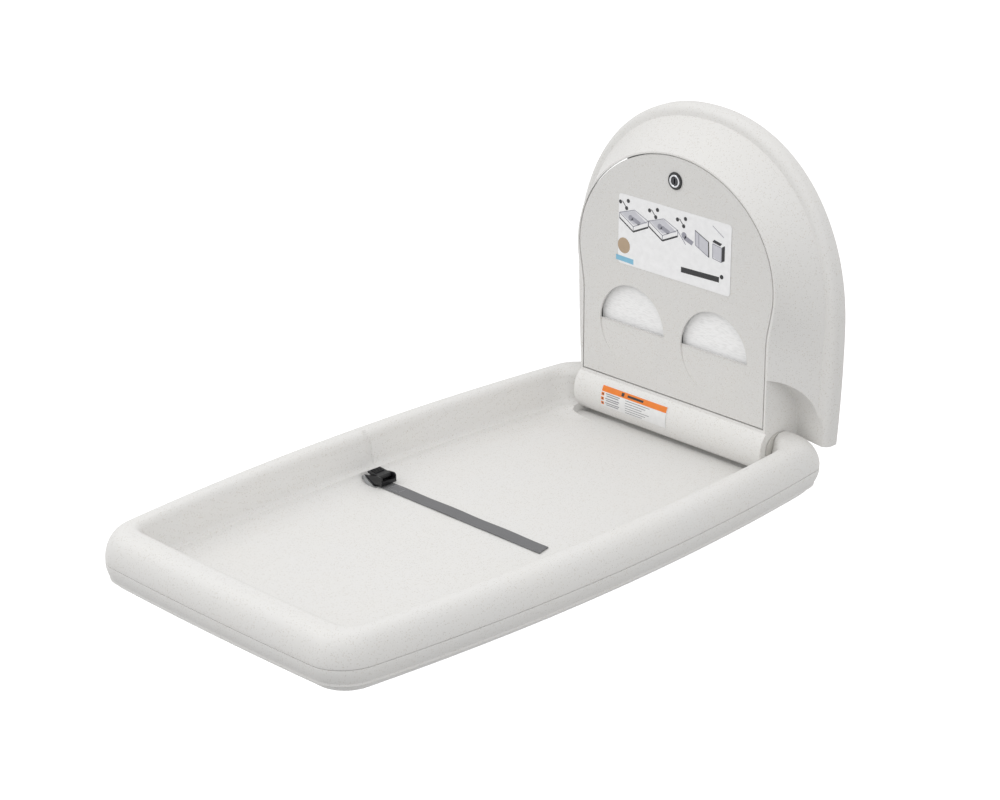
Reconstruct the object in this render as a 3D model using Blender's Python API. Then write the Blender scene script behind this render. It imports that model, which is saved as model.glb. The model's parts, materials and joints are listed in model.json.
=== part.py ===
"""Vertical wall-mounted fold-down baby changing table.

Frame: the back of the wall plate is y = 0, the unit comes out towards -Y, x = 0 is the centre line and
z = 0 is the height of the bed's hinge axis. Lengths are in metres.
"""

import math

import bmesh
import bpy

# ---------------------------------------------------------------- overall sizes
BED_WIDTH = 0.535  # widest, at mid length
BED_BOW = 0.034  # how much each side draws in towards the ends
BED_REACH = 0.8655  # hinge axis to the far end
BED_TAIL = 0.0383  # hinge axis to the back of the ears
BED_DEPTH = 0.060  # hinge axis to the underside
UNIT_WIDTH = 0.4806  # arched back of the housing, widest
UNIT_TOP = 0.4404  # hinge axis to the top of the arch
POD_DEPTH = 0.0798  # wall to the face of the dispenser cover
AXIS_OUT = 0.0555  # wall to the hinge axis

# ---------------------------------------------------------------- bed
SEAM_DROP = 0.018  # hinge axis down to the seam between the shells
CREST_RISE = 0.0215  # hinge axis up to the crest of the rim
FLOOR_DROP = 0.0382  # hinge axis down to the bed floor
LEDGE_DROP = 0.0265  # hinge axis down to the ledge round the floor
RIM_ROUND = 0.026  # outer bullnose, from the side to the crest
CREST_FLAT = 0.006
INNER_ROUND = 0.0105  # from the crest over to the inner wall
WALL_LEAN = 0.0065
LEDGE_WIDTH = 0.007
STEP_ROUND = 0.019  # ledge down to the floor
BELLY_ROUND = 0.040  # side to the underside
FAR_CORNER = 0.0515
FAR_CORNER_LEAST = 0.014
EAR_CORNER = 0.030
EAR_CORNER_GROWTH = 0.43
CORNER_SHRINK = 0.75
SHELL_WALL = 0.0035
RIM_EDGE = 0.005  # the top shell's inner walls stop this far inside the outline
SEAM_GAP = 0.0004

# ---------------------------------------------------------------- hinge
BARREL_RADIUS = 0.0308
BARREL_WALL = 0.003
BARREL_HALF = 0.1720
HOUSING_CHEEK = 0.1725  # half width of the housing between the ears
EAR_GAP = 0.003  # cheek to ear
FLOOR_SETBACK = 0.0173  # hinge axis to the hinge edge of the floor
TROUGH_END = 0.0115  # hinge axis back to the end of the trough under the barrel
ROD_RADIUS = 0.007
ROD_CLEARANCE = 0.0005
BUSH_WALL = 0.0035
BRACKET_AT = 0.140
BRACKET_THICK = 0.004
ARM_AT = 0.205
ARM_THICK = 0.005
ARM_REACH = 0.320
HUB_RADIUS = 0.021
HUB_THICK = 0.0022

# ---------------------------------------------------------------- housing and cover
FLANGE_THICK = 0.0223
FLANGE_FOOT = 0.0067  # hinge axis up to the bottom of the flange
FLANGE_NARROWING = 0.0063
FLANGE_SHOULDER = 0.1691  # hinge axis up to where the flange's arch begins
FLANGE_POWER = 2.15
FLANGE_DRAFT = 0.0006  # slope of the flange's face
HOUSING_WALL = 0.0035
EDGE_ROUND = 0.0115
FLARE_EDGE = 0.017  # flange edge in to the foot of the flare
FLARE_SAG = 0.0015
COVER_FOOT = 0.033
COVER_HALF_FOOT = 0.168
COVER_HALF_HIP = 0.1777
COVER_SHOULDER = 0.2236
COVER_TOP = 0.3822
COVER_WAIST = 0.62  # share of the straight side below the hips
COVER_THICK = 0.003
COVER_GAP = 0.0013
LIP_WIDTH = 0.0025
RECESS_TOP = 0.105
RECESS_ROUND = 0.012
EAR_SWEEP = 0.031  # hinge axis up to where the turning ear clears the pocket's rounded corner
COVER_AXIS_UP = 0.004  # cover foot to its pin
COVER_AXIS_BACK = 0.0028
COVER_PIN_RADIUS = 0.002
SLOT_RADIUS = 0.0606  # half-moon openings over the liners
SLOT_APART = 0.1524
SLOT_UP = 0.1171
LABEL_SIZE = (0.2066, 0.1018)
LABEL_UP = 0.2587
LABEL_THICK = 0.0004
LABEL_ROUND = 0.005

# ---------------------------------------------------------------- lock
LOCK_UP = 0.3492
LOCK_BODY = 0.0095
LOCK_FACE = 0.0125
LOCK_FACE_THICK = 0.0025
LOCK_LENGTH = 0.020
PLUG_RADIUS = 0.006
PLUG_GAP = 0.0004
CAM_THICK = 0.0025
CAM_LENGTH = 0.036
CAM_WIDTH = 0.013
KEEPER_GAP = 0.001
KEEPER_OVERLAP = 0.008

# ---------------------------------------------------------------- chassis, spring and liners
PLATE_THICK = 0.003
PLATE_HALF = 0.160
PLATE_FOOT = -0.022
PLATE_TOP = 0.365
BOLT_HOLE = 0.0045
BOLT_SIDE = 0.100
BOLT_HEIGHTS = (0.060, 0.330)
SPRING_OFFSET = 0.0165  # hinge axis to the line that the spring pushes along
SPRING_PITCH = 1.19  # rod travel per radian, over the offset: the best straight fit to the slotted crank
CRANK_THICK = 0.006
CRANK_START = math.radians(45)
CRANK_RIM = 0.0022
SPRING_SIDE = 0.011
SPRING_PIN = 0.0025
SPRING_ROD = 0.004
SPRING_BODY = 0.011
SPRING_WALL = 0.0018
SPRING_FOOT = 0.154
SPRING_TOP = 0.318
SLOT_CLEARANCE = 0.0012
BIN_HALF = 0.150
BIN_FOOT = 0.046
BIN_TOP = 0.150
BIN_DEPTH = 0.029
BIN_WALL = 0.002
LINER_WIDTH = 0.132
LINER_TOP = 0.186
LINER_STACK = 0.022

# ---------------------------------------------------------------- strap and buckle
STRAP_WIDTH = 0.0220
STRAP_THICK = 0.0014
STRAP_OUT = 0.4075  # hinge axis to the middle of the strap
STRAP_START = -0.1765
STRAP_END = 0.130
STRAP_CUT = 0.005  # how far the cut end slants
BUCKLE_PIN_SIDE = 0.201
BUCKLE_PIN_UP = 0.0085  # above the floor
BUCKLE_LENGTH = 0.034
BUCKLE_WIDTH = 0.0275
BUCKLE_HEIGHT = 0.009
BUCKLE_WALL = 0.0022
BUCKLE_EYE = 0.0034  # round each of the buckle's pins
ANCHOR_START = 0.009  # buckle pin to the anchor's plate
ANCHOR_END = 0.0232
ANCHOR_THICK = 0.0016
ANCHOR_SCREW_IN = 0.0165  # buckle pin to the anchor's screw
PIN_RADIUS = 0.0014
LEVER_BACK = 0.010  # buckle nose to the lever's pin
CLEARANCE = 0.0003
RUNNING_GAP = 0.0005

WARNING_LABEL = (-0.1215, 0.0025)  # from and to, along the barrel
WARNING_ARC = (math.radians(147), math.radians(208))

HINGE = (0.0, -AXIS_OUT, 0.0)
COVER_HINGE = (0.0, -POD_DEPTH + COVER_AXIS_BACK, COVER_FOOT + COVER_AXIS_UP)
LOCK_AXIS = (0.0, -POD_DEPTH, LOCK_UP)
EAR_FACE = HOUSING_CHEEK + EAR_GAP
FLOOR_Z = -FLOOR_DROP
STRAP_Y = -AXIS_OUT - STRAP_OUT
BUCKLE_AXIS = (-BUCKLE_PIN_SIDE, STRAP_Y, FLOOR_Z + BUCKLE_PIN_UP)
LEVER_AXIS = (
    -BUCKLE_PIN_SIDE + BUCKLE_LENGTH - LEVER_BACK,
    STRAP_Y,
    FLOOR_Z + BUCKLE_PIN_UP + BUCKLE_HEIGHT * 0.5,
)
SPRING_Y = -AXIS_OUT + SPRING_OFFSET
SPRING_PIN_Z = SPRING_OFFSET * SPRING_PITCH * CRANK_START


# ---------------------------------------------------------------- scene and materials
def clear_scene():
    for old in list(bpy.data.objects):
        bpy.data.objects.remove(old, do_unlink=True)


def collection(name):
    made = bpy.data.collections.new(name)
    bpy.context.scene.collection.children.link(made)
    return made


def finish(name, colour, roughness, metallic=0.0):
    """A Principled material. The colour is sRGB, each channel from 0 to 1."""
    made = bpy.data.materials.new(name)
    made.use_nodes = True
    shader = made.node_tree.nodes["Principled BSDF"]
    linear = [c / 12.92 if c <= 0.04045 else ((c + 0.055) / 1.055) ** 2.4 for c in colour]
    shader.inputs["Base Color"].default_value = (*linear, 1.0)
    shader.inputs["Roughness"].default_value = roughness
    shader.inputs["Metallic"].default_value = metallic
    made.diffuse_color = (*linear, 1.0)
    return made


clear_scene()
PARTS = collection("changing_table")
CUTTERS = collection("cutters")

GRANITE = finish("granite_polyethylene", (0.89, 0.885, 0.875), 0.55)
COVER_PLASTIC = finish("cover_polyethylene", (0.83, 0.825, 0.81), 0.55)
BLACK = finish("black_acetal", (0.07, 0.07, 0.075), 0.4)
WEBBING = finish("grey_webbing", (0.33, 0.33, 0.335), 0.85)
STEEL = finish("zinc_plated_steel", (0.66, 0.67, 0.69), 0.35, 1.0)
CHROME = finish("chromed_lock", (0.78, 0.78, 0.8), 0.15, 1.0)
PAINTED = finish("black_painted_steel", (0.1, 0.1, 0.11), 0.45)
PAPER = finish("liner_paper", (0.93, 0.93, 0.92), 0.9)
LABEL = finish("printed_label", (0.95, 0.95, 0.95), 0.4)
WARNING = finish("warning_label", (0.95, 0.55, 0.2), 0.4)
BEARING = finish("natural_acetal", (0.9, 0.9, 0.86), 0.4)


# ---------------------------------------------------------------- building blocks
def empty(name, at, parent=None):
    made = bpy.data.objects.new(name, None)
    PARTS.objects.link(made)
    made.empty_display_size = 0.02
    made.parent = parent
    start = parent["at"] if parent else (0.0, 0.0, 0.0)
    made.location = [a - b for a, b in zip(at, start)]
    made["at"] = list(at)
    return made


def add(name, shape, material, parent=None, at=(0.0, 0.0, 0.0), smooth=True):
    """Makes an object from a bmesh whose origin is at the world point `at`."""
    bmesh.ops.recalc_face_normals(shape, faces=shape.faces)
    if shape.calc_volume(signed=True) < 0:
        bmesh.ops.reverse_faces(shape, faces=shape.faces)
    mesh = bpy.data.meshes.new(name)
    shape.to_mesh(mesh)
    shape.free()
    made = bpy.data.objects.new(name, mesh)
    mesh.materials.append(material)
    if smooth:
        mesh.shade_smooth()
        mesh.set_sharp_from_angle(angle=math.radians(35))
    PARTS.objects.link(made)
    made.parent = parent
    start = parent["at"] if parent else (0.0, 0.0, 0.0)
    made.location = [a - b for a, b in zip(at, start)]
    return made


def cutter(name, shape, parent=None, at=(0.0, 0.0, 0.0)):
    made = add(name, shape, BLACK, parent, at, smooth=False)
    PARTS.objects.unlink(made)
    CUTTERS.objects.link(made)
    made.hide_render = True
    made.display_type = "WIRE"
    return made


def combine(obj, other, operation="DIFFERENCE"):
    """Cuts `other` out of the object, or joins it on."""
    step = obj.modifiers.new(f"{operation.lower()}_{other.name}"[:60], "BOOLEAN")
    step.operation = operation
    step.solver = "EXACT"
    step.object = other


def box(low, high):
    shape = bmesh.new()
    bmesh.ops.create_cube(shape, size=1.0)
    for v in shape.verts:
        for i in range(3):
            v.co[i] = low[i] if v.co[i] < 0 else high[i]
    return shape


def cylinder(radius, start, end, axis="x", centre=(0.0, 0.0), segments=24):
    """A cylinder from `start` to `end` along an axis, `centre` being its place on the other two axes."""
    shape = bmesh.new()
    bmesh.ops.create_cone(
        shape, cap_ends=True, segments=segments, radius1=radius, radius2=radius, depth=end - start
    )
    middle = (start + end) / 2
    for v in shape.verts:
        x, y, z = v.co
        if axis == "x":
            v.co = (z + middle, x + centre[0], y + centre[1])
        elif axis == "y":
            v.co = (x + centre[0], z + middle, y + centre[1])
        else:
            v.co = (x + centre[0], y + centre[1], z + middle)
    return shape


def prism(outline, start, end, axis):
    """An outline in the plane across `axis`, extruded from `start` to `end` along it."""
    shape = bmesh.new()
    order = {"x": (2, 0, 1), "y": (0, 2, 1), "z": (0, 1, 2)}[axis]
    verts = []
    for a, b in outline:
        flat = (a, b, start)
        verts.append(shape.verts.new([flat[i] for i in order]))
    face = shape.faces.new(verts)
    grown = bmesh.ops.extrude_face_region(shape, geom=[face])
    along = [0.0, 0.0, 0.0]
    along["xyz".index(axis)] = end - start
    moved = [g for g in grown["geom"] if isinstance(g, bmesh.types.BMVert)]
    bmesh.ops.translate(shape, verts=moved, vec=along)
    return shape


def ring_prism(outline, inner, start, end, axis):
    """A prism with an open middle: `outline` and `inner` hold equally many points."""
    shape = bmesh.new()
    order = {"x": (2, 0, 1), "y": (0, 2, 1), "z": (0, 1, 2)}[axis]
    rings = []
    for points, at in ((outline, start), (outline, end), (inner, end), (inner, start)):
        rings.append([(p[0], p[1], at) for p in points])
    loft(shape, [[tuple(q[i] for i in order) for q in ring] for ring in rings], closed=True)
    return shape


def loft(shape, rings, closed=False):
    """Skins rings of equally many points. The ends are capped unless the last ring joins the first."""
    made = [[shape.verts.new(p) for p in ring] for ring in rings]
    pairs = list(zip(made, made[1:]))
    if closed:
        pairs.append((made[-1], made[0]))
    for low, high in pairs:
        for i in range(len(low)):
            j = (i + 1) % len(low)
            shape.faces.new((low[i], low[j], high[j], high[i]))
    if not closed:
        shape.faces.new(made[0])
        shape.faces.new(made[-1])
    return shape


def turned(profile, axis="x", centre=(0.0, 0.0), segments=24):
    """A closed profile of (radius, place along the axis) spun once round the axis."""
    rings = []
    for i in range(segments):
        a = math.tau * i / segments
        ring = []
        for radius, along in profile:
            p, q = radius * math.cos(a) + centre[0], radius * math.sin(a) + centre[1]
            ring.append({"x": (along, p, q), "y": (p, along, q), "z": (p, q, along)}[axis])
        rings.append(ring)
    return loft(bmesh.new(), rings, closed=True)


def arc(centre, radii, start, end, steps):
    """Points on an elliptical arc, both ends included. Angles in radians."""
    points = []
    for i in range(steps + 1):
        a = start + (end - start) * i / steps
        points.append((centre[0] + radii[0] * math.cos(a), centre[1] + radii[1] * math.sin(a)))
    return points


def smooth_step(t):
    t = min(max(t, 0.0), 1.0)
    return t * t * (3 - 2 * t)


# ---------------------------------------------------------------- bed
def bed_ring(inset, z, steps=6, side_steps=9):
    """The bed's outline in plan, drawn in by `inset`, in the bed's own frame."""
    half = BED_WIDTH / 2 - inset
    back, far = BED_TAIL - inset, -BED_REACH + inset
    far_round = max(FAR_CORNER - CORNER_SHRINK * inset, FAR_CORNER_LEAST)
    ear_round = EAR_CORNER + EAR_CORNER_GROWTH * inset
    quarter = math.pi / 2
    points = arc((half - ear_round, back - ear_round), (ear_round,) * 2, quarter, 0.0, steps)
    top, bottom = back - ear_round, far + far_round
    for i in range(1, side_steps):
        points.append((half, top + (bottom - top) * i / side_steps))
    points += arc((half - far_round, far + far_round), (far_round,) * 2, 0.0, -quarter, steps)
    points += [(0.0, far)]
    points += [(-x, y) for x, y in reversed(points[:-1])] + [(0.0, back)]
    middle = (BED_TAIL - BED_REACH) / 2
    length = (BED_TAIL + BED_REACH) / 2
    bow = 2 * BED_BOW / BED_WIDTH
    return [(x * (1 - bow * ((y - middle) / length) ** 2), y, z) for x, y in points]


def bed_top_profile(wall=0.0):
    """(inset, height) from the seam over the rim and down to the floor. `wall` moves it under the skin."""
    half_pi = math.pi / 2
    rise = CREST_RISE + SEAM_DROP - wall
    points = arc((RIM_ROUND, -SEAM_DROP), (RIM_ROUND - wall, rise), math.pi, half_pi, 6)
    crest = RIM_ROUND + CREST_FLAT
    round_x, round_z = INNER_ROUND - wall, INNER_ROUND + 0.004 - wall
    points += arc((crest, CREST_RISE - wall - round_z), (round_x, round_z), half_pi, 0.0, 3)
    wall_foot = crest + INNER_ROUND + WALL_LEAN
    points += [(wall_foot - wall, -LEDGE_DROP + 0.003 - wall * 0.6)]
    points += [(wall_foot + 0.002 - wall * 0.6, -LEDGE_DROP - wall)]
    ledge_end = wall_foot + 0.002 + LEDGE_WIDTH
    drop = FLOOR_DROP - LEDGE_DROP
    points += arc(
        (ledge_end + STEP_ROUND - wall * 0.5, -LEDGE_DROP - wall), (STEP_ROUND, drop), math.pi, 1.5 * math.pi, 4
    )
    return points


def ear_gap(name, grow, start, parent):
    """The space between the ears, from `start` back, `grow` wider all round."""
    low = (-EAR_FACE - grow, start - grow, -0.1)
    return cutter(name, box(low, (EAR_FACE + grow, BED_TAIL + 0.05, 0.08)), parent, HINGE)


def barrel_trough(name, grow, parent):
    """The hollow under the hinge barrel, about the hinge axis."""
    half = EAR_FACE + grow
    radius = math.hypot(FLOOR_DROP, FLOOR_SETBACK) + grow
    return cutter(name, cylinder(radius, -half, half, segments=56), parent, HINGE)


def bed_top_shell(axis):
    under = FLOOR_Z - SHELL_WALL
    profile = bed_top_profile()
    rings = [bed_ring(RIM_EDGE, under), bed_ring(RIM_EDGE, -SEAM_DROP)]
    rings += [bed_ring(inset, z) for inset, z in profile]
    shell = add("bed_top_shell", loft(bmesh.new(), rings), GRANITE, axis, HINGE)
    hollow_profile = bed_top_profile(SHELL_WALL)[:-3]
    last = hollow_profile[-1][0] + 0.003
    hollow_profile += [(last, under - 0.004), (SHELL_WALL, under - 0.004)]
    rings = [bed_ring(inset, z) for inset, z in hollow_profile]
    hollow = cutter("rim_hollow", loft(bmesh.new(), rings, closed=True), axis, HINGE)
    combine(hollow, ear_gap("ear_wall", SHELL_WALL, -FLOOR_SETBACK, axis))
    combine(shell, ear_gap("barrel_space", 0.0, -FLOOR_SETBACK, axis))
    over_floor = box((-EAR_FACE, -0.050, FLOOR_Z), (EAR_FACE, BED_TAIL + 0.02, 0.06))
    combine(shell, cutter("hinge_end_floor", over_floor, axis, HINGE))
    combine(shell, hollow)
    reach = ARM_AT + 0.02
    bore = cylinder(ROD_RADIUS + ROD_CLEARANCE, -reach, reach, segments=20)
    combine(shell, cutter("rod_bore", bore, axis, HINGE))
    return shell


def bed_bottom_shell(axis):
    seam = -SEAM_DROP - SEAM_GAP
    belly = BED_DEPTH - SEAM_DROP - SEAM_GAP

    def pan(wall, top):
        points = arc(
            (BELLY_ROUND, seam), (BELLY_ROUND - wall, belly - wall), math.pi, 1.5 * math.pi, 7
        )
        return [bed_ring(wall, top)] + [bed_ring(inset, z) for inset, z in points]

    rings = pan(0.0, seam)[1:]
    shell = add("bed_bottom_shell", loft(bmesh.new(), rings), GRANITE, axis, HINGE)
    hollow = cutter("belly_hollow", loft(bmesh.new(), pan(SHELL_WALL, 0.01)), axis, HINGE)
    combine(hollow, ear_gap("tail_wall", SHELL_WALL, TROUGH_END, axis))
    combine(hollow, barrel_trough("trough_wall", SHELL_WALL, axis))
    combine(shell, ear_gap("tail_space", 0.0, TROUGH_END, axis))
    combine(shell, barrel_trough("trough", 0.0, axis))
    combine(shell, hollow)
    above = FLOOR_Z - SHELL_WALL - CLEARANCE
    half = EAR_FACE + SHELL_WALL + CLEARANCE
    trim = box((-half, -0.045, above), (half, BED_TAIL - RIM_EDGE + CLEARANCE, 0.05))
    combine(shell, cutter("floor_edge_trim", trim, axis, HINGE))
    return shell


def bed_fastenings(axis, top, bottom):
    """Screw posts under the floor, with a screw up through the bottom shell into each."""
    post, hole, head = 0.006, 0.0016, 0.0035
    under = FLOOR_Z - SHELL_WALL
    base = -BED_DEPTH + SHELL_WALL + CLEARANCE
    count = 0
    for y in (-0.40, -0.72):
        for x in (-0.11, 0.11):
            count += 1
            place = (x, y)
            stem = cylinder(post, base, under + 0.0015, "z", place, 12)
            combine(top, cutter(f"post_{count}", stem, axis, HINGE), "UNION")
            tapped = cylinder(hole + 0.0003, base - 0.001, under - 0.0015, "z", place, 10)
            combine(top, cutter(f"tapped_hole_{count}", tapped, axis, HINGE))
            clear = cylinder(hole + 0.0006, -BED_DEPTH - 0.001, base + 0.001, "z", place, 10)
            combine(bottom, cutter(f"screw_hole_{count}", clear, axis, HINGE))
            low = -BED_DEPTH - CLEARANCE
            length = under - 0.003
            profile = [(0.0, low - 0.0018), (head * 0.7, low - 0.0018), (head, low - 0.0008), (head, low)]
            profile += [(hole, low), (hole, length), (0.0, length)]
            screw = spindle(profile, place)
            add(f"shell_screw_{count}", screw, STEEL, axis, HINGE)


def spindle(profile, centre, segments=10):
    """A solid turned about a Z line: the profile starts and ends on the axis."""
    shape = bmesh.new()
    rings = []
    for radius, z in profile[1:-1]:
        ring = []
        for i in range(segments):
            a = math.tau * i / segments
            ring.append((centre[0] + radius * math.cos(a), centre[1] + radius * math.sin(a), z))
        rings.append(ring)
    return loft(shape, rings)


def hinge_metalwork(axis):
    reach = ARM_AT + ARM_THICK + 0.004
    add("hinge_rod", cylinder(ROD_RADIUS, -reach, reach), STEEL, axis, HINGE)
    eye, low, high = 0.0125, -BED_DEPTH + SHELL_WALL + 0.0055, FLOOR_Z - SHELL_WALL - 0.0015
    for side, name in ((-1, "left"), (1, "right")):
        outline = arc((0.0, 0.0), (eye, eye), math.radians(200), math.radians(-70), 12)
        outline += [(-0.006, low), (-ARM_REACH, low), (-ARM_REACH, high), (-0.046, high)]
        start, end = sorted((side * ARM_AT, side * (ARM_AT + ARM_THICK)))
        arm = add(f"hinge_arm_{name}", prism(outline, start, end, "x"), STEEL, axis, HINGE)
        bore = cylinder(ROD_RADIUS + CLEARANCE, start - 0.001, end + 0.001, segments=20)
        combine(arm, cutter(f"arm_bore_{name}", bore, axis, HINGE))
        inner = side * (BARREL_HALF + CLEARANCE)
        outer = side * (BARREL_HALF + CLEARANCE + HUB_THICK)
        start, end = sorted((inner, outer))
        bore_radius = ROD_RADIUS + CLEARANCE
        profile = [(bore_radius, start), (HUB_RADIUS, start), (HUB_RADIUS, end), (bore_radius, end)]
        add(f"hinge_washer_{name}", turned(profile), BEARING, axis, HINGE)
    half = ARM_AT - CLEARANCE
    cross = box((-half, -ARM_REACH, low), (half, -ARM_REACH + 0.022, high))
    add("bed_cross_bar", cross, STEEL, axis, HINGE)


def crank(axis):
    """A slotted crank on the hinge rod, which the gas spring's pin works in."""
    hub = ROD_RADIUS + 0.006
    tip = SPRING_PIN + SLOT_CLEARANCE + CRANK_RIM
    nearest, furthest = SPRING_OFFSET, math.hypot(SPRING_OFFSET, SPRING_PIN_Z)
    turn = math.pi / 2
    hub_half = math.asin(tip / hub) * 0.9
    outline = arc((0, 0), (hub, hub), hub_half, math.tau - hub_half, 12)
    outline += arc((furthest, 0.0), (tip, tip), -turn, turn, 8)
    slot = SPRING_PIN + SLOT_CLEARANCE
    opening = arc((nearest, 0.0), (slot, slot), turn, 3 * turn, 6)
    opening += arc((furthest, 0.0), (slot, slot), -turn, turn, 6)

    def turned_up(points):
        c, s = math.cos(CRANK_START), math.sin(CRANK_START)
        return [(y * c - z * s, y * s + z * c) for y, z in points]

    half = CRANK_THICK / 2
    piece = add("spring_crank", prism(turned_up(outline), -half, half, "x"), STEEL, axis, HINGE)
    slot_cut = prism(turned_up(opening), -half - 0.001, half + 0.001, "x")
    combine(piece, cutter("crank_slot", slot_cut, axis, HINGE))
    bore = cylinder(ROD_RADIUS + CLEARANCE, -half - 0.001, half + 0.001, segments=20)
    combine(piece, cutter("crank_bore", bore, axis, HINGE))


# ---------------------------------------------------------------- wall unit
def cover_outline(grow=0.0, foot_grow=0.0, side_steps=10, arch_steps=9):
    """The dispenser cover's outline in x and z, from the right foot over the arch to the left foot."""
    points = []
    for i in range(side_steps):
        f = i / side_steps
        z = COVER_FOOT + (COVER_SHOULDER - COVER_FOOT) * f
        hip = smooth_step((f - COVER_WAIST) / (1 - COVER_WAIST))
        x = COVER_HALF_FOOT + (COVER_HALF_HIP - COVER_HALF_FOOT) * hip + grow
        points.append((x, z - foot_grow if i == 0 else z))
    rise = COVER_TOP - COVER_SHOULDER + grow
    points += arc((0.0, COVER_SHOULDER), (COVER_HALF_HIP + grow, rise), 0.0, math.pi / 2, arch_steps)
    return points + [(-x, z) for x, z in reversed(points[:-1])]


def flange_outline(side_steps=10, arch_steps=9):
    """The housing's back edge, point for point with the cover's outline."""
    points = []
    half = UNIT_WIDTH / 2
    for i in range(side_steps):
        f = i / side_steps
        z = FLANGE_FOOT + (FLANGE_SHOULDER - FLANGE_FOOT) * f
        points.append((half - FLANGE_NARROWING * (1 - f) ** 2, z))
    rise = UNIT_TOP - FLANGE_SHOULDER
    for i in range(arch_steps + 1):
        a = math.pi / 2 * i / arch_steps
        c, s = math.cos(a) ** (2 / FLANGE_POWER), math.sin(a) ** (2 / FLANGE_POWER)
        points.append((half * c if i < arch_steps else 0.0, FLANGE_SHOULDER + rise * s))
    return points + [(-x, z) for x, z in reversed(points[:-1])]


def between(share, y, foot):
    """The housing's section at depth y: `share` of the way from the cover's outline to the flange's."""
    ring = []
    for (cx, cz), (fx, fz) in zip(cover_outline(), flange_outline()):
        z = cz + (fz - cz) * share
        ring.append((cx + (fx - cx) * share, y, z))
    low = min(p[2] for p in ring)
    return [(x, y, foot if z <= low + 1e-6 else max(z, foot + 0.001)) for x, y, z in ring]


def pod_rings(wall):
    """Sections from the face of the pod down its flare to the flange's edge, drawn in by `wall`."""
    span = UNIT_WIDTH / 2 - COVER_HALF_HIP
    foot = FLANGE_FOOT + wall
    edge = 1 - wall / span
    shoulder = 1 - (FLARE_EDGE + wall * 0.45) / span
    face = POD_DEPTH - wall
    flange = FLANGE_THICK + FLANGE_DRAFT - wall
    lip = (COVER_GAP + (LIP_WIDTH if wall == 0 else 0.0)) / span
    rings = []
    if wall == 0:
        rings.append(between(COVER_GAP / span, -face, foot))
    for share, drop in ((lip, 0.0), (lip + 0.012, 0.0006), (lip + 0.03, 0.0022)):
        rings.append(between(share, -(face - drop), foot))
    start, top = lip + 0.03, face - 0.0022
    for i in range(1, 7):
        f = i / 6
        share = start + (shoulder - start) * f
        sag = FLARE_SAG * math.sin(math.pi * f)
        rings.append(between(share, -(top + (flange - top) * f - sag), foot))
    radius = EDGE_ROUND - wall
    for i in range(6):
        a = math.pi / 2 * i / 5
        share = edge - radius / span * (1 - math.sin(a))
        depth = flange - FLANGE_DRAFT - radius * (1 - math.cos(a))
        rings.append(between(share, -depth, foot))
    return rings


def ear_recess(side, grow):
    """The rounded pocket beside the hinge that the bed's ear turns in."""
    start, end = sorted((side * (HOUSING_CHEEK - grow), side * 0.3))
    back = -FLANGE_THICK - FLANGE_DRAFT / 2 + grow
    top = RECESS_TOP + grow
    shape = box((start, -0.12, -0.06), (end, back, top))
    inner = start if side > 0 else end

    def rounded(edge):
        ends = [v.co for v in edge.verts]
        on = [
            all(abs(c.x - inner) < 1e-6 for c in ends),
            all(abs(c.y - back) < 1e-6 for c in ends),
            all(abs(c.z - top) < 1e-6 for c in ends),
        ]
        return sum(on) == 2

    edges = [e for e in shape.edges if rounded(e)]
    bmesh.ops.bevel(
        shape, geom=edges, offset=RECESS_ROUND, segments=5, profile=0.5, affect="EDGES"
    )
    return shape


def housing():
    rings = pod_rings(0.0) + [between(1.0, 0.0, FLANGE_FOOT)]
    shell = add("housing_shell", loft(bmesh.new(), rings), GRANITE)
    inner = pod_rings(HOUSING_WALL)
    last = [(x, 0.01, z) for x, _, z in inner[-1]]
    hollow = cutter("housing_hollow", loft(bmesh.new(), inner + [last]))
    for side, name in ((-1, "left"), (1, "right")):
        combine(shell, cutter(f"ear_recess_{name}", ear_recess(side, 0.0)))
        start, end = sorted((side * HOUSING_CHEEK, side * 0.3))
        sweep = box((start, -0.11, -0.05), (end, -FLANGE_THICK - FLANGE_DRAFT / 2, EAR_SWEEP))
        combine(shell, cutter(f"ear_sweep_{name}", sweep))
        combine(hollow, cutter(f"ear_recess_wall_{name}", ear_recess(side, HOUSING_WALL)))
    combine(shell, hollow)
    span = COVER_GAP
    mouth = prism(cover_outline(span, COVER_GAP), -POD_DEPTH - 0.01, -POD_DEPTH + 0.006, "y")
    combine(shell, cutter("cover_mouth", mouth))
    around = BARREL_RADIUS + RUNNING_GAP
    half = HOUSING_CHEEK + 0.02
    seat = cylinder(around, -half, half, centre=(-AXIS_OUT, 0.0), segments=48)
    combine(shell, cutter("barrel_seat", seat))
    inside = HOUSING_CHEEK - HOUSING_WALL
    opening = box((-inside, -POD_DEPTH + HOUSING_WALL, -0.05), (inside, 0.01, COVER_FOOT))
    combine(shell, cutter("barrel_opening", opening))
    pins = cylinder(
        COVER_PIN_RADIUS + CLEARANCE, -half, half, centre=(COVER_HINGE[1], COVER_HINGE[2]), segments=12
    )
    combine(shell, cutter("cover_pin_holes", pins))
    return shell


def barrel_cover():
    """The moulded cover round the hinge rod, open to the wall for the brackets and the crank."""
    start = math.pi - math.asin((COVER_FOOT - 0.0143) / BARREL_RADIUS)
    end = math.radians(300)
    outer = arc((-AXIS_OUT, 0.0), (BARREL_RADIUS,) * 2, start, end, 22)
    inside = BARREL_RADIUS - BARREL_WALL
    inner = arc((-AXIS_OUT, 0.0), (inside,) * 2, end, start, 22)
    shape = prism(outer + inner, -BARREL_HALF, BARREL_HALF, "x")
    add("hinge_barrel_cover", shape, GRANITE)


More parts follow.
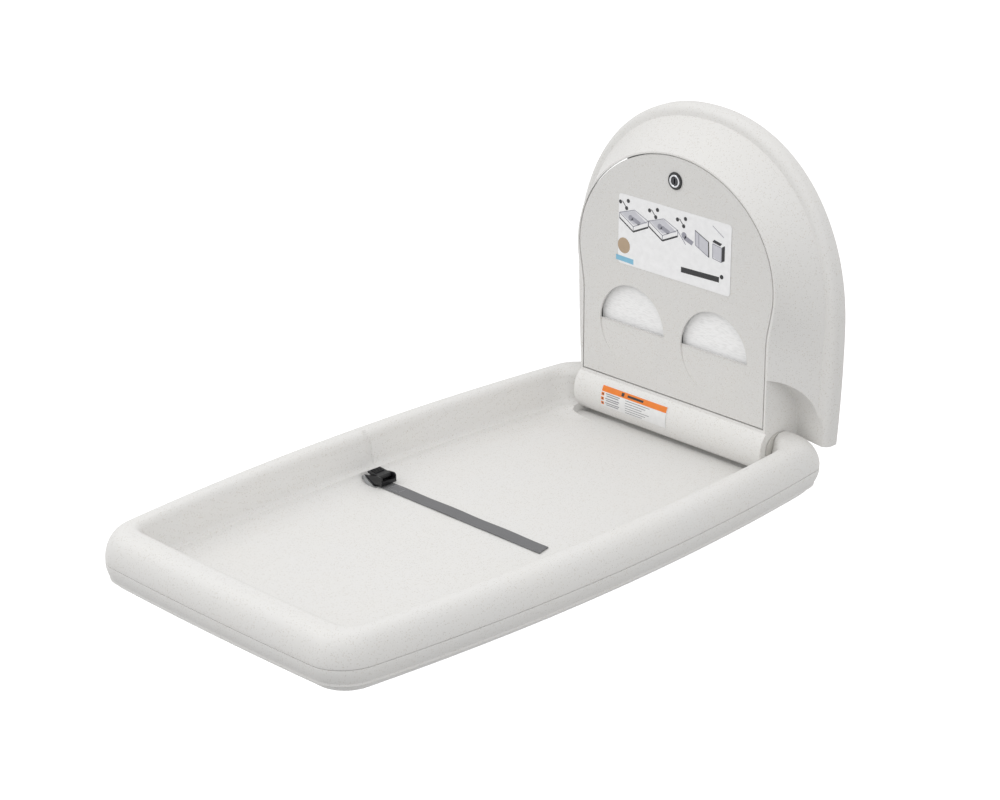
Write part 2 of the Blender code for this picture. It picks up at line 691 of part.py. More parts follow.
def chassis():
    plate = box((-PLATE_HALF, -PLATE_THICK, PLATE_FOOT), (PLATE_HALF, 0.0, PLATE_TOP))
    edges = [e for e in plate.edges if abs(e.verts[0].co.y - e.verts[1].co.y) > PLATE_THICK / 2]
    bmesh.ops.bevel(plate, geom=edges, offset=0.012, segments=3, profile=0.5, affect="EDGES")
    plate = add("wall_plate", plate, STEEL, smooth=False)
    for i, z in enumerate(BOLT_HEIGHTS):
        for side, name in ((-1, "left"), (1, "right")):
            hole = cylinder(BOLT_HOLE, -0.01, 0.01, "y", (side * BOLT_SIDE, z), 16)
            combine(plate, cutter(f"bolt_hole_{name}_{i}", hole))
    bush_radius = ROD_RADIUS + ROD_CLEARANCE + BUSH_WALL
    back = -PLATE_THICK - CLEARANCE
    for side, name in ((-1, "left"), (1, "right")):
        start, end = sorted((side * BRACKET_AT, side * (BRACKET_AT + BRACKET_THICK)))
        nose = 0.018
        outline = arc((-AXIS_OUT, 0.0), (nose, nose), math.pi / 2, 1.5 * math.pi, 8)
        outline += [(back, -nose), (back, 0.060), (back - 0.014, 0.060)]
        bracket = add(f"hinge_bracket_{name}", prism(outline, start, end, "x"), STEEL)
        bore = cylinder(
            bush_radius + CLEARANCE, start - 0.001, end + 0.001, centre=(-AXIS_OUT, 0.0)
        )
        combine(bracket, cutter(f"bush_bore_{name}", bore))
        inner = ROD_RADIUS + ROD_CLEARANCE
        low, high = start - 0.003, end + 0.003
        profile = [(inner, low), (bush_radius, low), (bush_radius, high), (inner, high)]
        add(f"hinge_bush_{name}", turned(profile, centre=(-AXIS_OUT, 0.0)), BEARING)


def gas_spring():
    """The cylinder hangs in the housing, with its rod reaching down to the crank."""
    centre = (SPRING_SIDE, SPRING_Y)
    inner = SPRING_BODY - SPRING_WALL
    neck = SPRING_ROD + RUNNING_GAP
    profile = [
        (neck, SPRING_FOOT),
        (SPRING_BODY, SPRING_FOOT),
        (SPRING_BODY, SPRING_TOP),
        (neck, SPRING_TOP),
        (neck, SPRING_TOP - 0.004),
        (inner, SPRING_TOP - 0.004),
        (inner, SPRING_FOOT + 0.012),
        (neck, SPRING_FOOT + 0.012),
    ]
    add("gas_spring_cylinder", turned(profile, "z", centre, 20), PAINTED)
    back = -PLATE_THICK - CLEARANCE
    low, high = SPRING_TOP + CLEARANCE, SPRING_TOP + 0.020
    shelf = box((SPRING_SIDE - 0.018, SPRING_Y - 0.012, low), (SPRING_SIDE + 0.018, back, low + 0.004))
    shelf = add("gas_spring_bracket", shelf, STEEL, smooth=False)
    upright = box((SPRING_SIDE - 0.018, back - 0.003, low), (SPRING_SIDE + 0.018, back, high))
    combine(shelf, cutter("bracket_upright", upright), "UNION")


def gas_spring_rod(slide):
    """Rod, piston and cross pin. The slide carries them at the crank's end."""
    top = SPRING_FOOT + 0.120
    centre = (0.0, 0.0)
    rod = cylinder(SPRING_ROD, 0.0, top - SPRING_PIN_Z, "z", centre, 16)
    at = (SPRING_SIDE, SPRING_Y, SPRING_PIN_Z)
    rod = add("gas_spring_rod", rod, CHROME, slide, at)
    piston = SPRING_BODY - SPRING_WALL - RUNNING_GAP
    head = cylinder(piston, top - SPRING_PIN_Z - 0.012, top - SPRING_PIN_Z + 0.001, "z", centre, 20)
    combine(rod, cutter("piston", head, slide, at), "UNION")
    eye = cylinder(0.007, -0.0045, 0.0045, "x", centre, 20)
    combine(rod, cutter("rod_eye", eye, slide, at), "UNION")
    pin_end = -SPRING_SIDE - CRANK_THICK / 2 - 0.002
    pin = cylinder(SPRING_PIN, pin_end, 0.0, "x", centre, 16)
    combine(rod, cutter("cross_pin", pin, slide, at), "UNION")


def liner_bin():
    front = -POD_DEPTH + COVER_THICK + 0.0015
    back = front + BIN_DEPTH
    shape = box((-BIN_HALF, front, BIN_FOOT), (BIN_HALF, back, BIN_TOP))
    tray = add("liner_bin", shape, BEARING, smooth=False)
    for side, name in ((-1, "left"), (1, "right")):
        start, end = sorted((side * BIN_WALL / 2, side * (BIN_HALF - BIN_WALL)))
        pocket = box((start, front - 0.01, BIN_FOOT + BIN_WALL), (end, back - BIN_WALL, BIN_TOP + 0.01))
        combine(tray, cutter(f"liner_pocket_{name}", pocket))
        middle = side * SLOT_APART / 2
        half = LINER_WIDTH / 2
        low = (middle - half, front + 0.0005, BIN_FOOT + BIN_WALL + CLEARANCE)
        high = (middle + half, front + 0.0005 + LINER_STACK, LINER_TOP)
        add(f"liner_stack_{name}", box(low, high), PAPER, smooth=False)


def warning_label():
    radius = BARREL_RADIUS + CLEARANCE
    outer = radius + LABEL_THICK
    points = arc((-AXIS_OUT, 0.0), (radius,) * 2, *WARNING_ARC, 8)
    points += arc((-AXIS_OUT, 0.0), (outer,) * 2, WARNING_ARC[1], WARNING_ARC[0], 8)
    add("warning_label", prism(points, *WARNING_LABEL, "x"), WARNING)


def lock_keeper():
    """A bracket from the wall plate over the lock, with a tongue that the lock's cam turns behind."""
    thick = 0.003
    front = -POD_DEPTH + LOCK_LENGTH - KEEPER_GAP - thick
    back = -PLATE_THICK - CLEARANCE
    tip = LOCK_UP + CAM_LENGTH - CAM_WIDTH / 2
    top = tip + 0.006
    half = 0.014
    shape = box((-half, front, tip - KEEPER_OVERLAP), (half, front + thick, top))
    keeper = add("lock_keeper", shape, STEEL, smooth=False)
    strip = box((-half, front, top - thick), (half, back, top))
    combine(keeper, cutter("keeper_strip", strip), "UNION")
    upright = box((-half, back - thick, PLATE_TOP - 0.016), (half, back, top))
    combine(keeper, cutter("keeper_upright", upright), "UNION")


# ---------------------------------------------------------------- dispenser cover and lock
def half_moon(middle):
    outline = arc((middle, SLOT_UP), (SLOT_RADIUS, SLOT_RADIUS), 0.0, math.pi, 20)
    return prism(outline, -POD_DEPTH - 0.005, -POD_DEPTH + 0.02, "y")


def moved(shape, origin):
    """Takes a shape drawn in world places into the frame of an object at `origin`."""
    bmesh.ops.translate(shape, verts=shape.verts, vec=[-c for c in origin])
    return shape


def dispenser_cover(axis):
    at = COVER_HINGE
    front = -POD_DEPTH
    outline = cover_outline()
    shape = moved(prism(outline, front, front + COVER_THICK, "y"), at)
    cover = add("dispenser_cover", shape, COVER_PLASTIC, axis, at)
    inner = [(x * 0.985, COVER_FOOT + 0.003 + (z - COVER_FOOT) * 0.982) for x, z in outline]
    rim = moved(ring_prism(outline, inner, front + 0.001, front + 0.008, "y"), at)
    combine(cover, cutter("cover_rim", rim, axis, at), "UNION")
    for side, name in ((-1, "left"), (1, "right")):
        cut = moved(half_moon(side * SLOT_APART / 2), at)
        combine(cover, cutter(f"half_moon_{name}", cut, axis, at))
        start, end = sorted((side * 0.1575, side * 0.1705))
        pin = cylinder(COVER_PIN_RADIUS, start, end, segments=12)
        add(f"cover_pin_{name}", pin, STEEL, axis, at)
    hole = cylinder(LOCK_BODY + CLEARANCE, front - 0.01, front + 0.02, "y", (0.0, LOCK_UP), 24)
    combine(cover, cutter("lock_hole", moved(hole, at), axis, at))
    bore = cylinder(COVER_PIN_RADIUS + CLEARANCE, -0.3, 0.3, segments=12)
    combine(cover, cutter("cover_pin_bore", bore, axis, at))
    half = LABEL_SIZE[0] / 2 - LABEL_ROUND
    tall = LABEL_SIZE[1] / 2 - LABEL_ROUND
    corners = []
    for i, (sx, sz) in enumerate(((1, 1), (-1, 1), (-1, -1), (1, -1))):
        start = i * math.pi / 2
        middle = (sx * half, LABEL_UP + sz * tall)
        corners += arc(middle, (LABEL_ROUND,) * 2, start, start + math.pi / 2, 3)
    face = front - CLEARANCE
    label = moved(prism(corners, face - LABEL_THICK, face, "y"), at)
    add("instruction_label", label, LABEL, axis, at, smooth=False)


def lock_barrel(axis):
    at = COVER_HINGE
    face = -POD_DEPTH - CLEARANCE
    back = -POD_DEPTH + LOCK_LENGTH
    bore = PLUG_RADIUS + PLUG_GAP
    profile = [
        (bore, face - LOCK_FACE_THICK),
        (LOCK_FACE - 0.001, face - LOCK_FACE_THICK),
        (LOCK_FACE, face - LOCK_FACE_THICK + 0.001),
        (LOCK_FACE, face),
        (LOCK_BODY, face),
        (LOCK_BODY, back),
        (bore, back),
    ]
    body = moved(turned(profile, "y", (0.0, LOCK_UP)), at)
    add("lock_body", body, CHROME, axis, at)
    ring = LOCK_BODY + CLEARANCE
    low = -POD_DEPTH + COVER_THICK + CLEARANCE
    outer = arc((0.0, LOCK_UP), (0.0140,) * 2, 0.0, math.tau * 23 / 24, 23)
    hexagon = []
    for x, z in outer:
        a = math.atan2(z - LOCK_UP, x)
        r = 0.0125 / math.cos((a + math.pi / 6) % (math.pi / 3) - math.pi / 6)
        hexagon.append((r * math.cos(a), LOCK_UP + r * math.sin(a)))
    inner = arc((0.0, LOCK_UP), (ring, ring), 0.0, math.tau * 23 / 24, 23)
    nut = moved(ring_prism(hexagon, inner, low, low + 0.005, "y"), at)
    add("lock_nut", nut, STEEL, axis, at)


def lock_core(axis):
    """Plug, cam and screw. The cam lies across the cover at rest and stands up behind the keeper when locked."""
    at = LOCK_AXIS
    front = -CLEARANCE - LOCK_FACE_THICK + 0.0006
    back = LOCK_LENGTH + CLEARANCE
    plug = add("lock_plug", cylinder(PLUG_RADIUS, front, back, "y"), CHROME, axis, at)
    keyway = box((-0.0009, front - 0.001, -0.0038), (0.0009, front + 0.012, 0.0038))
    combine(plug, cutter("keyway", keyway, axis, at))
    start = back + CLEARANCE
    half = CAM_WIDTH / 2
    tail = CAM_LENGTH - half
    outline = arc((0.0, 0.0), (half, half), math.radians(-90), math.radians(90), 8)
    outline += [(-tail + 0.004, half), (-tail, half - 0.004), (-tail, -half + 0.004), (-tail + 0.004, -half)]
    cam = prism(outline, start, start + CAM_THICK, "y")
    cam = add("lock_cam", cam, STEEL, axis, at, smooth=False)
    stem = cylinder(0.0016, -0.01, start + 0.01, "y", segments=10)
    combine(cam, cutter("cam_screw_hole", stem, axis, at))
    tapped = cylinder(0.0016, back - 0.007, back + 0.002, "y", segments=10)
    combine(plug, cutter("plug_tapping", tapped, axis, at))
    screw = cylinder(0.0013, back - 0.006, start + CAM_THICK + CLEARANCE + 0.0005, "y", segments=10)
    screw = add("cam_screw", screw, STEEL, axis, at)
    low = start + CAM_THICK + CLEARANCE
    head = cylinder(0.0034, low, low + 0.0018, "y", segments=12)
    combine(screw, cutter("cam_screw_head", head, axis, at), "UNION")


# ---------------------------------------------------------------- strap and buckle
def strap(axis):
    at = (0.0, STRAP_Y, FLOOR_Z)
    half = STRAP_WIDTH / 2
    outline = [
        (STRAP_START, -half),
        (STRAP_END, -half),
        (STRAP_END - STRAP_CUT, half),
        (STRAP_START, half),
    ]
    shape = prism(outline, CLEARANCE, CLEARANCE + STRAP_THICK, "z")
    add("safety_strap", shape, WEBBING, axis, at, smooth=False)


def buckle_anchor(axis):
    """A plate screwed to the floor, with two lugs that carry the buckle's pin."""
    at = (-BUCKLE_PIN_SIDE, STRAP_Y, FLOOR_Z)
    low = CLEARANCE
    half = BUCKLE_WIDTH / 2 + RUNNING_GAP + BUCKLE_WALL
    plate = box((ANCHOR_START, -half, low), (ANCHOR_END, half, low + ANCHOR_THICK))
    plate = add("buckle_anchor", plate, STEEL, axis, at, smooth=False)
    for side, name in ((-1, "near"), (1, "far")):
        start, end = sorted((side * half, side * (half - BUCKLE_WALL)))
        outline = arc((0.0, BUCKLE_PIN_UP), (BUCKLE_EYE, BUCKLE_EYE), math.radians(75), math.radians(250), 6)
        outline += [(ANCHOR_START + 0.0002, low + 0.0004), (ANCHOR_END - 0.0002, low + 0.0004)]
        lug = prism(outline, start, end, "y")
        combine(plate, cutter(f"anchor_lug_{name}", lug, axis, at), "UNION")
    bore = cylinder(PIN_RADIUS + CLEARANCE, -0.03, 0.03, "y", (0.0, BUCKLE_PIN_UP), 12)
    combine(plate, cutter("anchor_pin_bore", bore, axis, at))
    place = (ANCHOR_SCREW_IN, 0.0)
    hole = cylinder(0.0022, -0.01, 0.01, "z", place, 10)
    combine(plate, cutter("anchor_screw_hole", hole, axis, at))
    head = low + ANCHOR_THICK + CLEARANCE
    profile = [(0.0, -0.003), (0.0019, -0.003), (0.0019, head), (0.0036, head), (0.0036, head + 0.0014), (0.0, 0.0)]
    add("anchor_screw", spindle(profile, place), STEEL, axis, at)


def buckle(swing, lever_axis):
    at = BUCKLE_AXIS
    half = BUCKLE_WIDTH / 2
    base = box((0.004, -half, -0.0042), (BUCKLE_LENGTH, half, -0.0042 + 0.0016))
    frame = add("buckle_frame", base, BLACK, swing, at, smooth=False)
    for side, name in ((-1, "near"), (1, "far")):
        start, end = sorted((side * half, side * (half - BUCKLE_WALL)))
        outline = arc((0.0, 0.0), (BUCKLE_EYE, BUCKLE_EYE), math.radians(90), math.radians(235), 5)
        outline += [(0.006, -0.0038), (BUCKLE_LENGTH - 0.0002, -0.0038)]
        outline += [(BUCKLE_LENGTH - 0.0002, 0.0045), (BUCKLE_LENGTH - 0.004, 0.0085), (0.012, 0.0060)]
        combine(frame, cutter(f"buckle_side_{name}", prism(outline, start, end, "y"), swing, at), "UNION")
    reach = half + RUNNING_GAP + BUCKLE_WALL - 0.0002
    bore = cylinder(PIN_RADIUS + CLEARANCE, -0.03, 0.03, "y", (0.0, 0.0), 12)
    combine(frame, cutter("buckle_pin_bore", bore, swing, at))
    add("buckle_pin", cylinder(PIN_RADIUS, -reach, reach, "y", segments=12), STEEL, swing, at)
    lever_x, lever_z = LEVER_AXIS[0] - at[0], LEVER_AXIS[2] - at[2]
    bore = cylinder(PIN_RADIUS + CLEARANCE, -0.03, 0.03, "y", (lever_x, lever_z), 12)
    combine(frame, cutter("lever_pin_bore", bore, swing, at))
    pin_half = half - 0.0002
    pin = cylinder(PIN_RADIUS, -pin_half, pin_half, "y", (lever_x, lever_z), 12)
    add("lever_pin", pin, STEEL, swing, at)
    width = half - BUCKLE_WALL - RUNNING_GAP
    outline = arc((0.0, 0.0), (BUCKLE_EYE, BUCKLE_EYE), math.radians(80), math.radians(-100), 6)
    outline += [(-0.004, -0.0012), (-0.020, 0.0018), (-0.0215, 0.0040), (-0.0195, 0.0052)]
    lever = prism(outline, -width, width, "y")
    lever = add("buckle_lever", lever, BLACK, lever_axis, LEVER_AXIS)
    bore = cylinder(PIN_RADIUS + CLEARANCE, -0.03, 0.03, "y", segments=12)
    combine(lever, cutter("lever_bore", bore, lever_axis, LEVER_AXIS))


# ---------------------------------------------------------------- the whole table
def build():
    bed_axis = empty("bed_axis", HINGE)
    cover_axis = empty("cover_axis", COVER_HINGE)
    lock_axis = empty("lock_axis", LOCK_AXIS, cover_axis)
    buckle_axis = empty("buckle_axis", BUCKLE_AXIS, bed_axis)
    lever_axis = empty("lever_axis", LEVER_AXIS, buckle_axis)
    spring_slide = empty("spring_slide", (SPRING_SIDE, SPRING_Y, SPRING_PIN_Z))

    chassis()
    housing()
    barrel_cover()
    warning_label()
    liner_bin()
    lock_keeper()
    gas_spring()
    gas_spring_rod(spring_slide)

    dispenser_cover(cover_axis)
    lock_barrel(cover_axis)
    lock_core(lock_axis)

    top = bed_top_shell(bed_axis)
    bottom = bed_bottom_shell(bed_axis)
    bed_fastenings(bed_axis, top, bottom)
    hinge_metalwork(bed_axis)
    crank(bed_axis)
    buckle_anchor(bed_axis)
    strap(bed_axis)
    hole = cylinder(0.0024, FLOOR_Z - 0.01, FLOOR_Z + 0.004, "z", (ANCHOR_SCREW_IN - BUCKLE_PIN_SIDE, -STRAP_OUT), 10)
    combine(top, cutter("anchor_screw_hole_in_bed", hole, bed_axis, HINGE))
    buckle(buckle_axis, lever_axis)


build()
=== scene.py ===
"""Looks of a wall-mounted fold-down baby changing table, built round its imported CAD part.

Lengths are in metres, in the part's own frame: the wall is y = 0, the unit comes out towards -Y, x = 0 is
the centre line and z = 0 is the height of the bed's hinge. Each sub-assembly is a class that builds its
pieces and dresses them; a finish is a small class named for the real material.
"""

import json
import logging
import math
from collections.abc import Callable, Iterable, Sequence
from dataclasses import dataclass
from enum import Enum

import bmesh
import bpy
from bmesh.types import BMEdge, BMesh, BMFace, BMVert
from mathutils import Matrix, Vector


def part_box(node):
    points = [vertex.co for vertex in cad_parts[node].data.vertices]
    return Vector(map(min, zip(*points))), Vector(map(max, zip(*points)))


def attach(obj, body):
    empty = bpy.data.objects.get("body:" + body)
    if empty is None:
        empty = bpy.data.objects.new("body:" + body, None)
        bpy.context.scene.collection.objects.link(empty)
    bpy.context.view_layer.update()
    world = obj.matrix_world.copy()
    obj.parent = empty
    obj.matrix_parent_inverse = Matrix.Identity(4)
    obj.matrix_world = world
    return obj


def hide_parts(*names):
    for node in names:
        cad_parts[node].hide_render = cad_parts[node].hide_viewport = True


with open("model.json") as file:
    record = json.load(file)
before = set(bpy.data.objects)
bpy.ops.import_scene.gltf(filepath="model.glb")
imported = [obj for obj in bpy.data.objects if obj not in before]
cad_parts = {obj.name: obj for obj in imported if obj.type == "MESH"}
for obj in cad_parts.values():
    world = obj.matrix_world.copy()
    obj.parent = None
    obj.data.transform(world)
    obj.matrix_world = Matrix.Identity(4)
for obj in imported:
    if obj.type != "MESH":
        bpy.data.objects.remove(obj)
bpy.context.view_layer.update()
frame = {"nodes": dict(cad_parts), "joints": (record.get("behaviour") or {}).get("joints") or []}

LOG = logging.getLogger("changing_table")
MM = 0.001
QUARTER = math.pi / 2

Point = tuple[float, float, float]
Flat = tuple[float, float]


class Body(Enum):
    """The moving bodies of the table."""

    WALL = "wall_unit"
    COVER = "cover"
    LOCK = "lock_core"
    BED = "bed"
    BUCKLE = "buckle"
    LEVER = "lever"
    SPRING = "spring_rod"


class Side(Enum):
    """Left and right, seen from the front of the unit, with the sign of x."""

    LEFT = -1
    RIGHT = 1


# ---------------------------------------------------------------- finishes
def linear(code: str) -> tuple[float, float, float, float]:
    """Turns an sRGB hex colour to linear light.

    Args:
        code: the colour, such as "#e3e1dc".

    Returns:
        Linear red, green, blue and an alpha of one.
    """
    found = []
    for start in (1, 3, 5):
        level = int(code[start : start + 2], 16) / 255
        found.append(level / 12.92 if level <= 0.04045 else ((level + 0.055) / 1.055) ** 2.4)
    return (found[0], found[1], found[2], 1.0)


def add_node(
    tree: bpy.types.NodeTree,
    kind: str,
    settings: dict[str | int, object] | None = None,
    links: dict[str | int, bpy.types.NodeSocket] | None = None,
) -> bpy.types.Node:
    """Adds one node to a tree.

    Args:
        tree: the node tree.
        kind: the node's type name.
        settings: values by the name or number of an input, or by the name of a property.
        links: output sockets by the name or number of the input that each feeds.

    Returns:
        The new node.
    """
    node = tree.nodes.new(kind)
    for name, value in (settings or {}).items():
        if isinstance(name, int) or name in node.inputs:
            node.inputs[name].default_value = value
        else:
            setattr(node, name, value)
    for name, socket in (links or {}).items():
        tree.links.new(socket, node.inputs[name])
    return node


def ramp(
    tree: bpy.types.NodeTree,
    source: bpy.types.NodeSocket,
    stops: Sequence[tuple[float, tuple[float, float, float, float]]],
    interpolation: str = "LINEAR",
) -> bpy.types.NodeSocket:
    """Adds a colour ramp.

    Args:
        tree: the node tree.
        source: the value that runs along the ramp.
        stops: places from 0 to 1, each with its linear colour.
        interpolation: how colours run between the stops.

    Returns:
        The ramp's colour socket.
    """
    node = add_node(tree, "ShaderNodeValToRGB", links={"Fac": source})
    node.color_ramp.interpolation = interpolation
    for i, (place, colour) in enumerate(stops):
        stop = node.color_ramp.elements[i] if i < 2 else node.color_ramp.elements.new(place)
        stop.position, stop.color = place, colour
    return node.outputs["Color"]


def grey(level: float) -> tuple[float, float, float, float]:
    """Gives a linear grey for a mask."""
    return (level, level, level, 1.0)


def mix(
    tree: bpy.types.NodeTree,
    factor: bpy.types.NodeSocket | float,
    first: bpy.types.NodeSocket | tuple[float, float, float, float],
    second: bpy.types.NodeSocket | tuple[float, float, float, float],
    blend: str = "MIX",
) -> bpy.types.NodeSocket:
    """Mixes two colours.

    Args:
        tree: the node tree.
        factor: how much of the second colour, as a socket or a number.
        first: the first colour, as a socket or linear values.
        second: the second colour, as a socket or linear values.
        blend: the blend type.

    Returns:
        The mixed colour's socket.
    """
    settings: dict[str | int, object] = {"blend_type": blend}
    links: dict[str | int, bpy.types.NodeSocket] = {}
    for name, value in (("Fac", factor), ("Color1", first), ("Color2", second)):
        (links if isinstance(value, bpy.types.NodeSocket) else settings)[name] = value
    return add_node(tree, "ShaderNodeMixRGB", settings, links).outputs["Color"]


@dataclass(frozen=True)
class Finish:
    """A material of the table.

    Attributes:
        name: the material's name.
        slot: the record's material slot that it belongs to.
        colour: its main colour, sRGB.
        roughness: how matt it is.
        metallic: one for bare metal.
        specular: the shader's specular level, for what isn't metal.
    """

    name: str
    slot: str
    colour: str
    roughness: float = 0.5
    metallic: float = 0.0
    specular: float = 0.5

    def material(self) -> bpy.types.Material:
        """Returns the material, made on its first use."""
        made = bpy.data.materials.get(self.name)
        if made is None:
            made = bpy.data.materials.new(self.name)
            made.use_nodes = True
            shader = made.node_tree.nodes["Principled BSDF"]
            shader.inputs["Base Color"].default_value = linear(self.colour)
            shader.inputs["Roughness"].default_value = self.roughness
            shader.inputs["Metallic"].default_value = self.metallic
            if not self.metallic:
                shader.inputs["Specular IOR Level"].default_value = self.specular
            coordinates = add_node(made.node_tree, "ShaderNodeTexCoord").outputs["Object"]
            self.shade(made.node_tree, shader, coordinates)
        return made

    def shade(
        self, tree: bpy.types.NodeTree, shader: bpy.types.Node, place: bpy.types.NodeSocket
    ) -> None:
        """Adds the pattern of this finish. A finish with its own pattern replaces this one.

        Args:
            tree: the material's node tree.
            shader: its Principled shader.
            place: the piece's own coordinates, in metres.
        """
        wear = self.noise(tree, place, 9.0, 3)
        tones = [(0.3, linear(self.colour)), (0.7, tuple(0.93 * c for c in linear(self.colour)[:3]) + (1.0,))]
        tree.links.new(ramp(tree, wear, tones), shader.inputs["Base Color"])
        self.bump(tree, shader, self.noise(tree, place, 1.2, 2), 0.08, 0.05)

    @staticmethod
    def noise(
        tree: bpy.types.NodeTree,
        place: bpy.types.NodeSocket,
        size_mm: float,
        detail: float,
    ) -> bpy.types.NodeSocket:
        """Adds a noise.

        Args:
            tree: the node tree.
            place: its coordinates.
            size_mm: the size of one patch, in millimetres.
            detail: how many finer layers it has.

        Returns:
            The noise's value, about 0.3 to 0.7.
        """
        settings: dict[str | int, object] = {"Scale": 1 / (size_mm * MM), "Detail": detail}
        return add_node(tree, "ShaderNodeTexNoise", settings, {"Vector": place}).outputs[0]

    @staticmethod
    def bump(
        tree: bpy.types.NodeTree,
        shader: bpy.types.Node,
        height: bpy.types.NodeSocket,
        strength: float,
        depth_mm: float,
    ) -> None:
        """Adds a bump to the shader.

        Args:
            tree: the node tree.
            shader: the Principled shader.
            height: the height pattern, 0 to 1.
            strength: how strong it looks.
            depth_mm: the relief's depth, in millimetres.
        """
        settings: dict[str | int, object] = {"Strength": strength, "Distance": depth_mm * MM}
        relief = add_node(tree, "ShaderNodeBump", settings, {"Height": height})
        tree.links.new(relief.outputs["Normal"], shader.inputs["Normal"])


@dataclass(frozen=True)
class GraniteMoulding(Finish):
    """Speckled polyethylene, moulded with a fine matt grain.

    It gives the eye an off-white body with small warm-grey, brown and pale flecks all through it, very
    slight cloudiness over a hand's width, and a soft broad sheen. The real flecks are 0.3 to 1 mm wide;
    they are drawn 1 to 2 mm wide, so that they show.
    """

    dark_fleck: str = "#bcb8b1"
    brown_fleck: str = "#c9c0b3"
    pale_fleck: str = "#f2f1ee"
    fleck_mm: float = 1.8
    brown_mm: float = 2.3
    grain_mm: float = 0.9
    cloud_mm: float = 70.0

    def shade(
        self, tree: bpy.types.NodeTree, shader: bpy.types.Node, place: bpy.types.NodeSocket
    ) -> None:
        """Lays flecks over the clouded body and adds the mould's grain.

        Args:
            tree: the material's node tree.
            shader: its Principled shader.
            place: the piece's own coordinates, in metres.
        """
        body = linear(self.colour)
        cloud = self.noise(tree, place, self.cloud_mm, 2)
        warm = (body[0], body[1] * 0.997, body[2] * 0.991, 1.0)
        colour = ramp(tree, cloud, [(0.35, body), (0.65, warm)])
        for size, share, fleck, strength in (
            (self.fleck_mm, 0.20, self.dark_fleck, 0.5),
            (self.brown_mm, 0.14, self.brown_fleck, 0.45),
            (self.fleck_mm * 0.8, 0.13, self.pale_fleck, 0.6),
        ):
            mask = self.flecks(tree, place, size, share, strength)
            colour = mix(tree, mask, colour, linear(fleck))
        tree.links.new(colour, shader.inputs["Base Color"])
        self.bump(tree, shader, self.noise(tree, place, self.grain_mm, 2), 0.10, 0.06)

    @staticmethod
    def flecks(
        tree: bpy.types.NodeTree,
        place: bpy.types.NodeSocket,
        size_mm: float,
        share: float,
        strength: float,
    ) -> bpy.types.NodeSocket:
        """Masks round flecks.

        Args:
            tree: the node tree.
            place: the coordinates.
            size_mm: the spacing of the cells that may hold a fleck.
            share: the part of the cells that hold one.
            strength: the mask's value inside a fleck.

        Returns:
            The mask's socket.
        """
        cells = add_node(
            tree, "ShaderNodeTexVoronoi", {"Scale": 1 / (size_mm * MM)}, {"Vector": place}
        )
        lot = add_node(tree, "ShaderNodeSeparateColor", links={"Color": cells.outputs["Color"]})
        chosen = ramp(tree, lot.outputs["Red"], [(0.0, grey(strength)), (share, grey(0.0))], "CONSTANT")
        disc = ramp(tree, cells.outputs["Distance"], [(0.22, grey(1.0)), (0.46, grey(0.0))])
        return mix(tree, 1.0, chosen, disc, "MULTIPLY")


@dataclass(frozen=True)
class Webbing(Finish):
    """Polyester seat webbing, plain woven.

    It gives the eye a dull grey ribbon with fine cross ribs and a tighter, darker edge. Real ribs are
    about 0.9 mm apart; they are drawn 1.8 mm apart, so that they show.
    """

    shadow: str = "#4f4f51"
    rib_mm: float = 1.8
    warp_mm: float = 2.2

    def shade(
        self, tree: bpy.types.NodeTree, shader: bpy.types.Node, place: bpy.types.NodeSocket
    ) -> None:
        """Weaves ribs across the strap with warp threads along it.

        Args:
            tree: the material's node tree.
            shader: its Principled shader.
            place: the piece's own coordinates, in metres.
        """
        waves = []
        for direction, size in (("X", self.rib_mm), ("Y", self.warp_mm)):
            settings: dict[str | int, object] = {
                "bands_direction": direction,
                "Scale": math.tau / 20 / (size * MM),
                "Distortion": 0.6,
                "Detail": 1.0,
            }
            wave = add_node(tree, "ShaderNodeTexWave", settings, {"Vector": place})
            waves.append(wave.outputs["Color"])
        weave = mix(tree, 0.45, waves[0], waves[1])
        fuzz = self.noise(tree, place, 0.7, 3)
        weave = mix(tree, 0.35, weave, fuzz)
        colour = ramp(tree, weave, [(0.1, linear(self.shadow)), (0.75, linear(self.colour))])
        tree.links.new(colour, shader.inputs["Base Color"])
        shader.inputs["Sheen Weight"].default_value = 0.25
        self.bump(tree, shader, weave, 0.5, 0.35)


@dataclass(frozen=True)
class BrushedSteel(Finish):
    """Zinc-plated sheet steel, rolled and passivated.

    It gives the eye a dull silver with faint lines along the rolling direction and cloudy patches of the
    passivation. Rolling lines are finer than 0.3 mm; they are drawn 0.8 mm apart.
    """

    tint: str = "#a8a9a8"
    line_mm: float = 0.8

    def shade(
        self, tree: bpy.types.NodeTree, shader: bpy.types.Node, place: bpy.types.NodeSocket
    ) -> None:
        """Draws rolling lines and clouds the plating.

        Args:
            tree: the material's node tree.
            shader: its Principled shader.
            place: the piece's own coordinates, in metres.
        """
        cloud = self.noise(tree, place, 26.0, 4)
        colour = ramp(tree, cloud, [(0.36, linear(self.colour)), (0.66, linear(self.tint))])
        tree.links.new(colour, shader.inputs["Base Color"])
        stretched = add_node(
            tree, "ShaderNodeMapping", {"Scale": (0.04, 1.0, 1.0)}, {"Vector": place}
        ).outputs["Vector"]
        lines = self.noise(tree, stretched, self.line_mm, 2)
        matt = ramp(tree, lines, [(0.3, grey(self.roughness - 0.08)), (0.7, grey(self.roughness + 0.1))])
        tree.links.new(matt, shader.inputs["Roughness"])
        self.bump(tree, shader, lines, 0.12, 0.05)


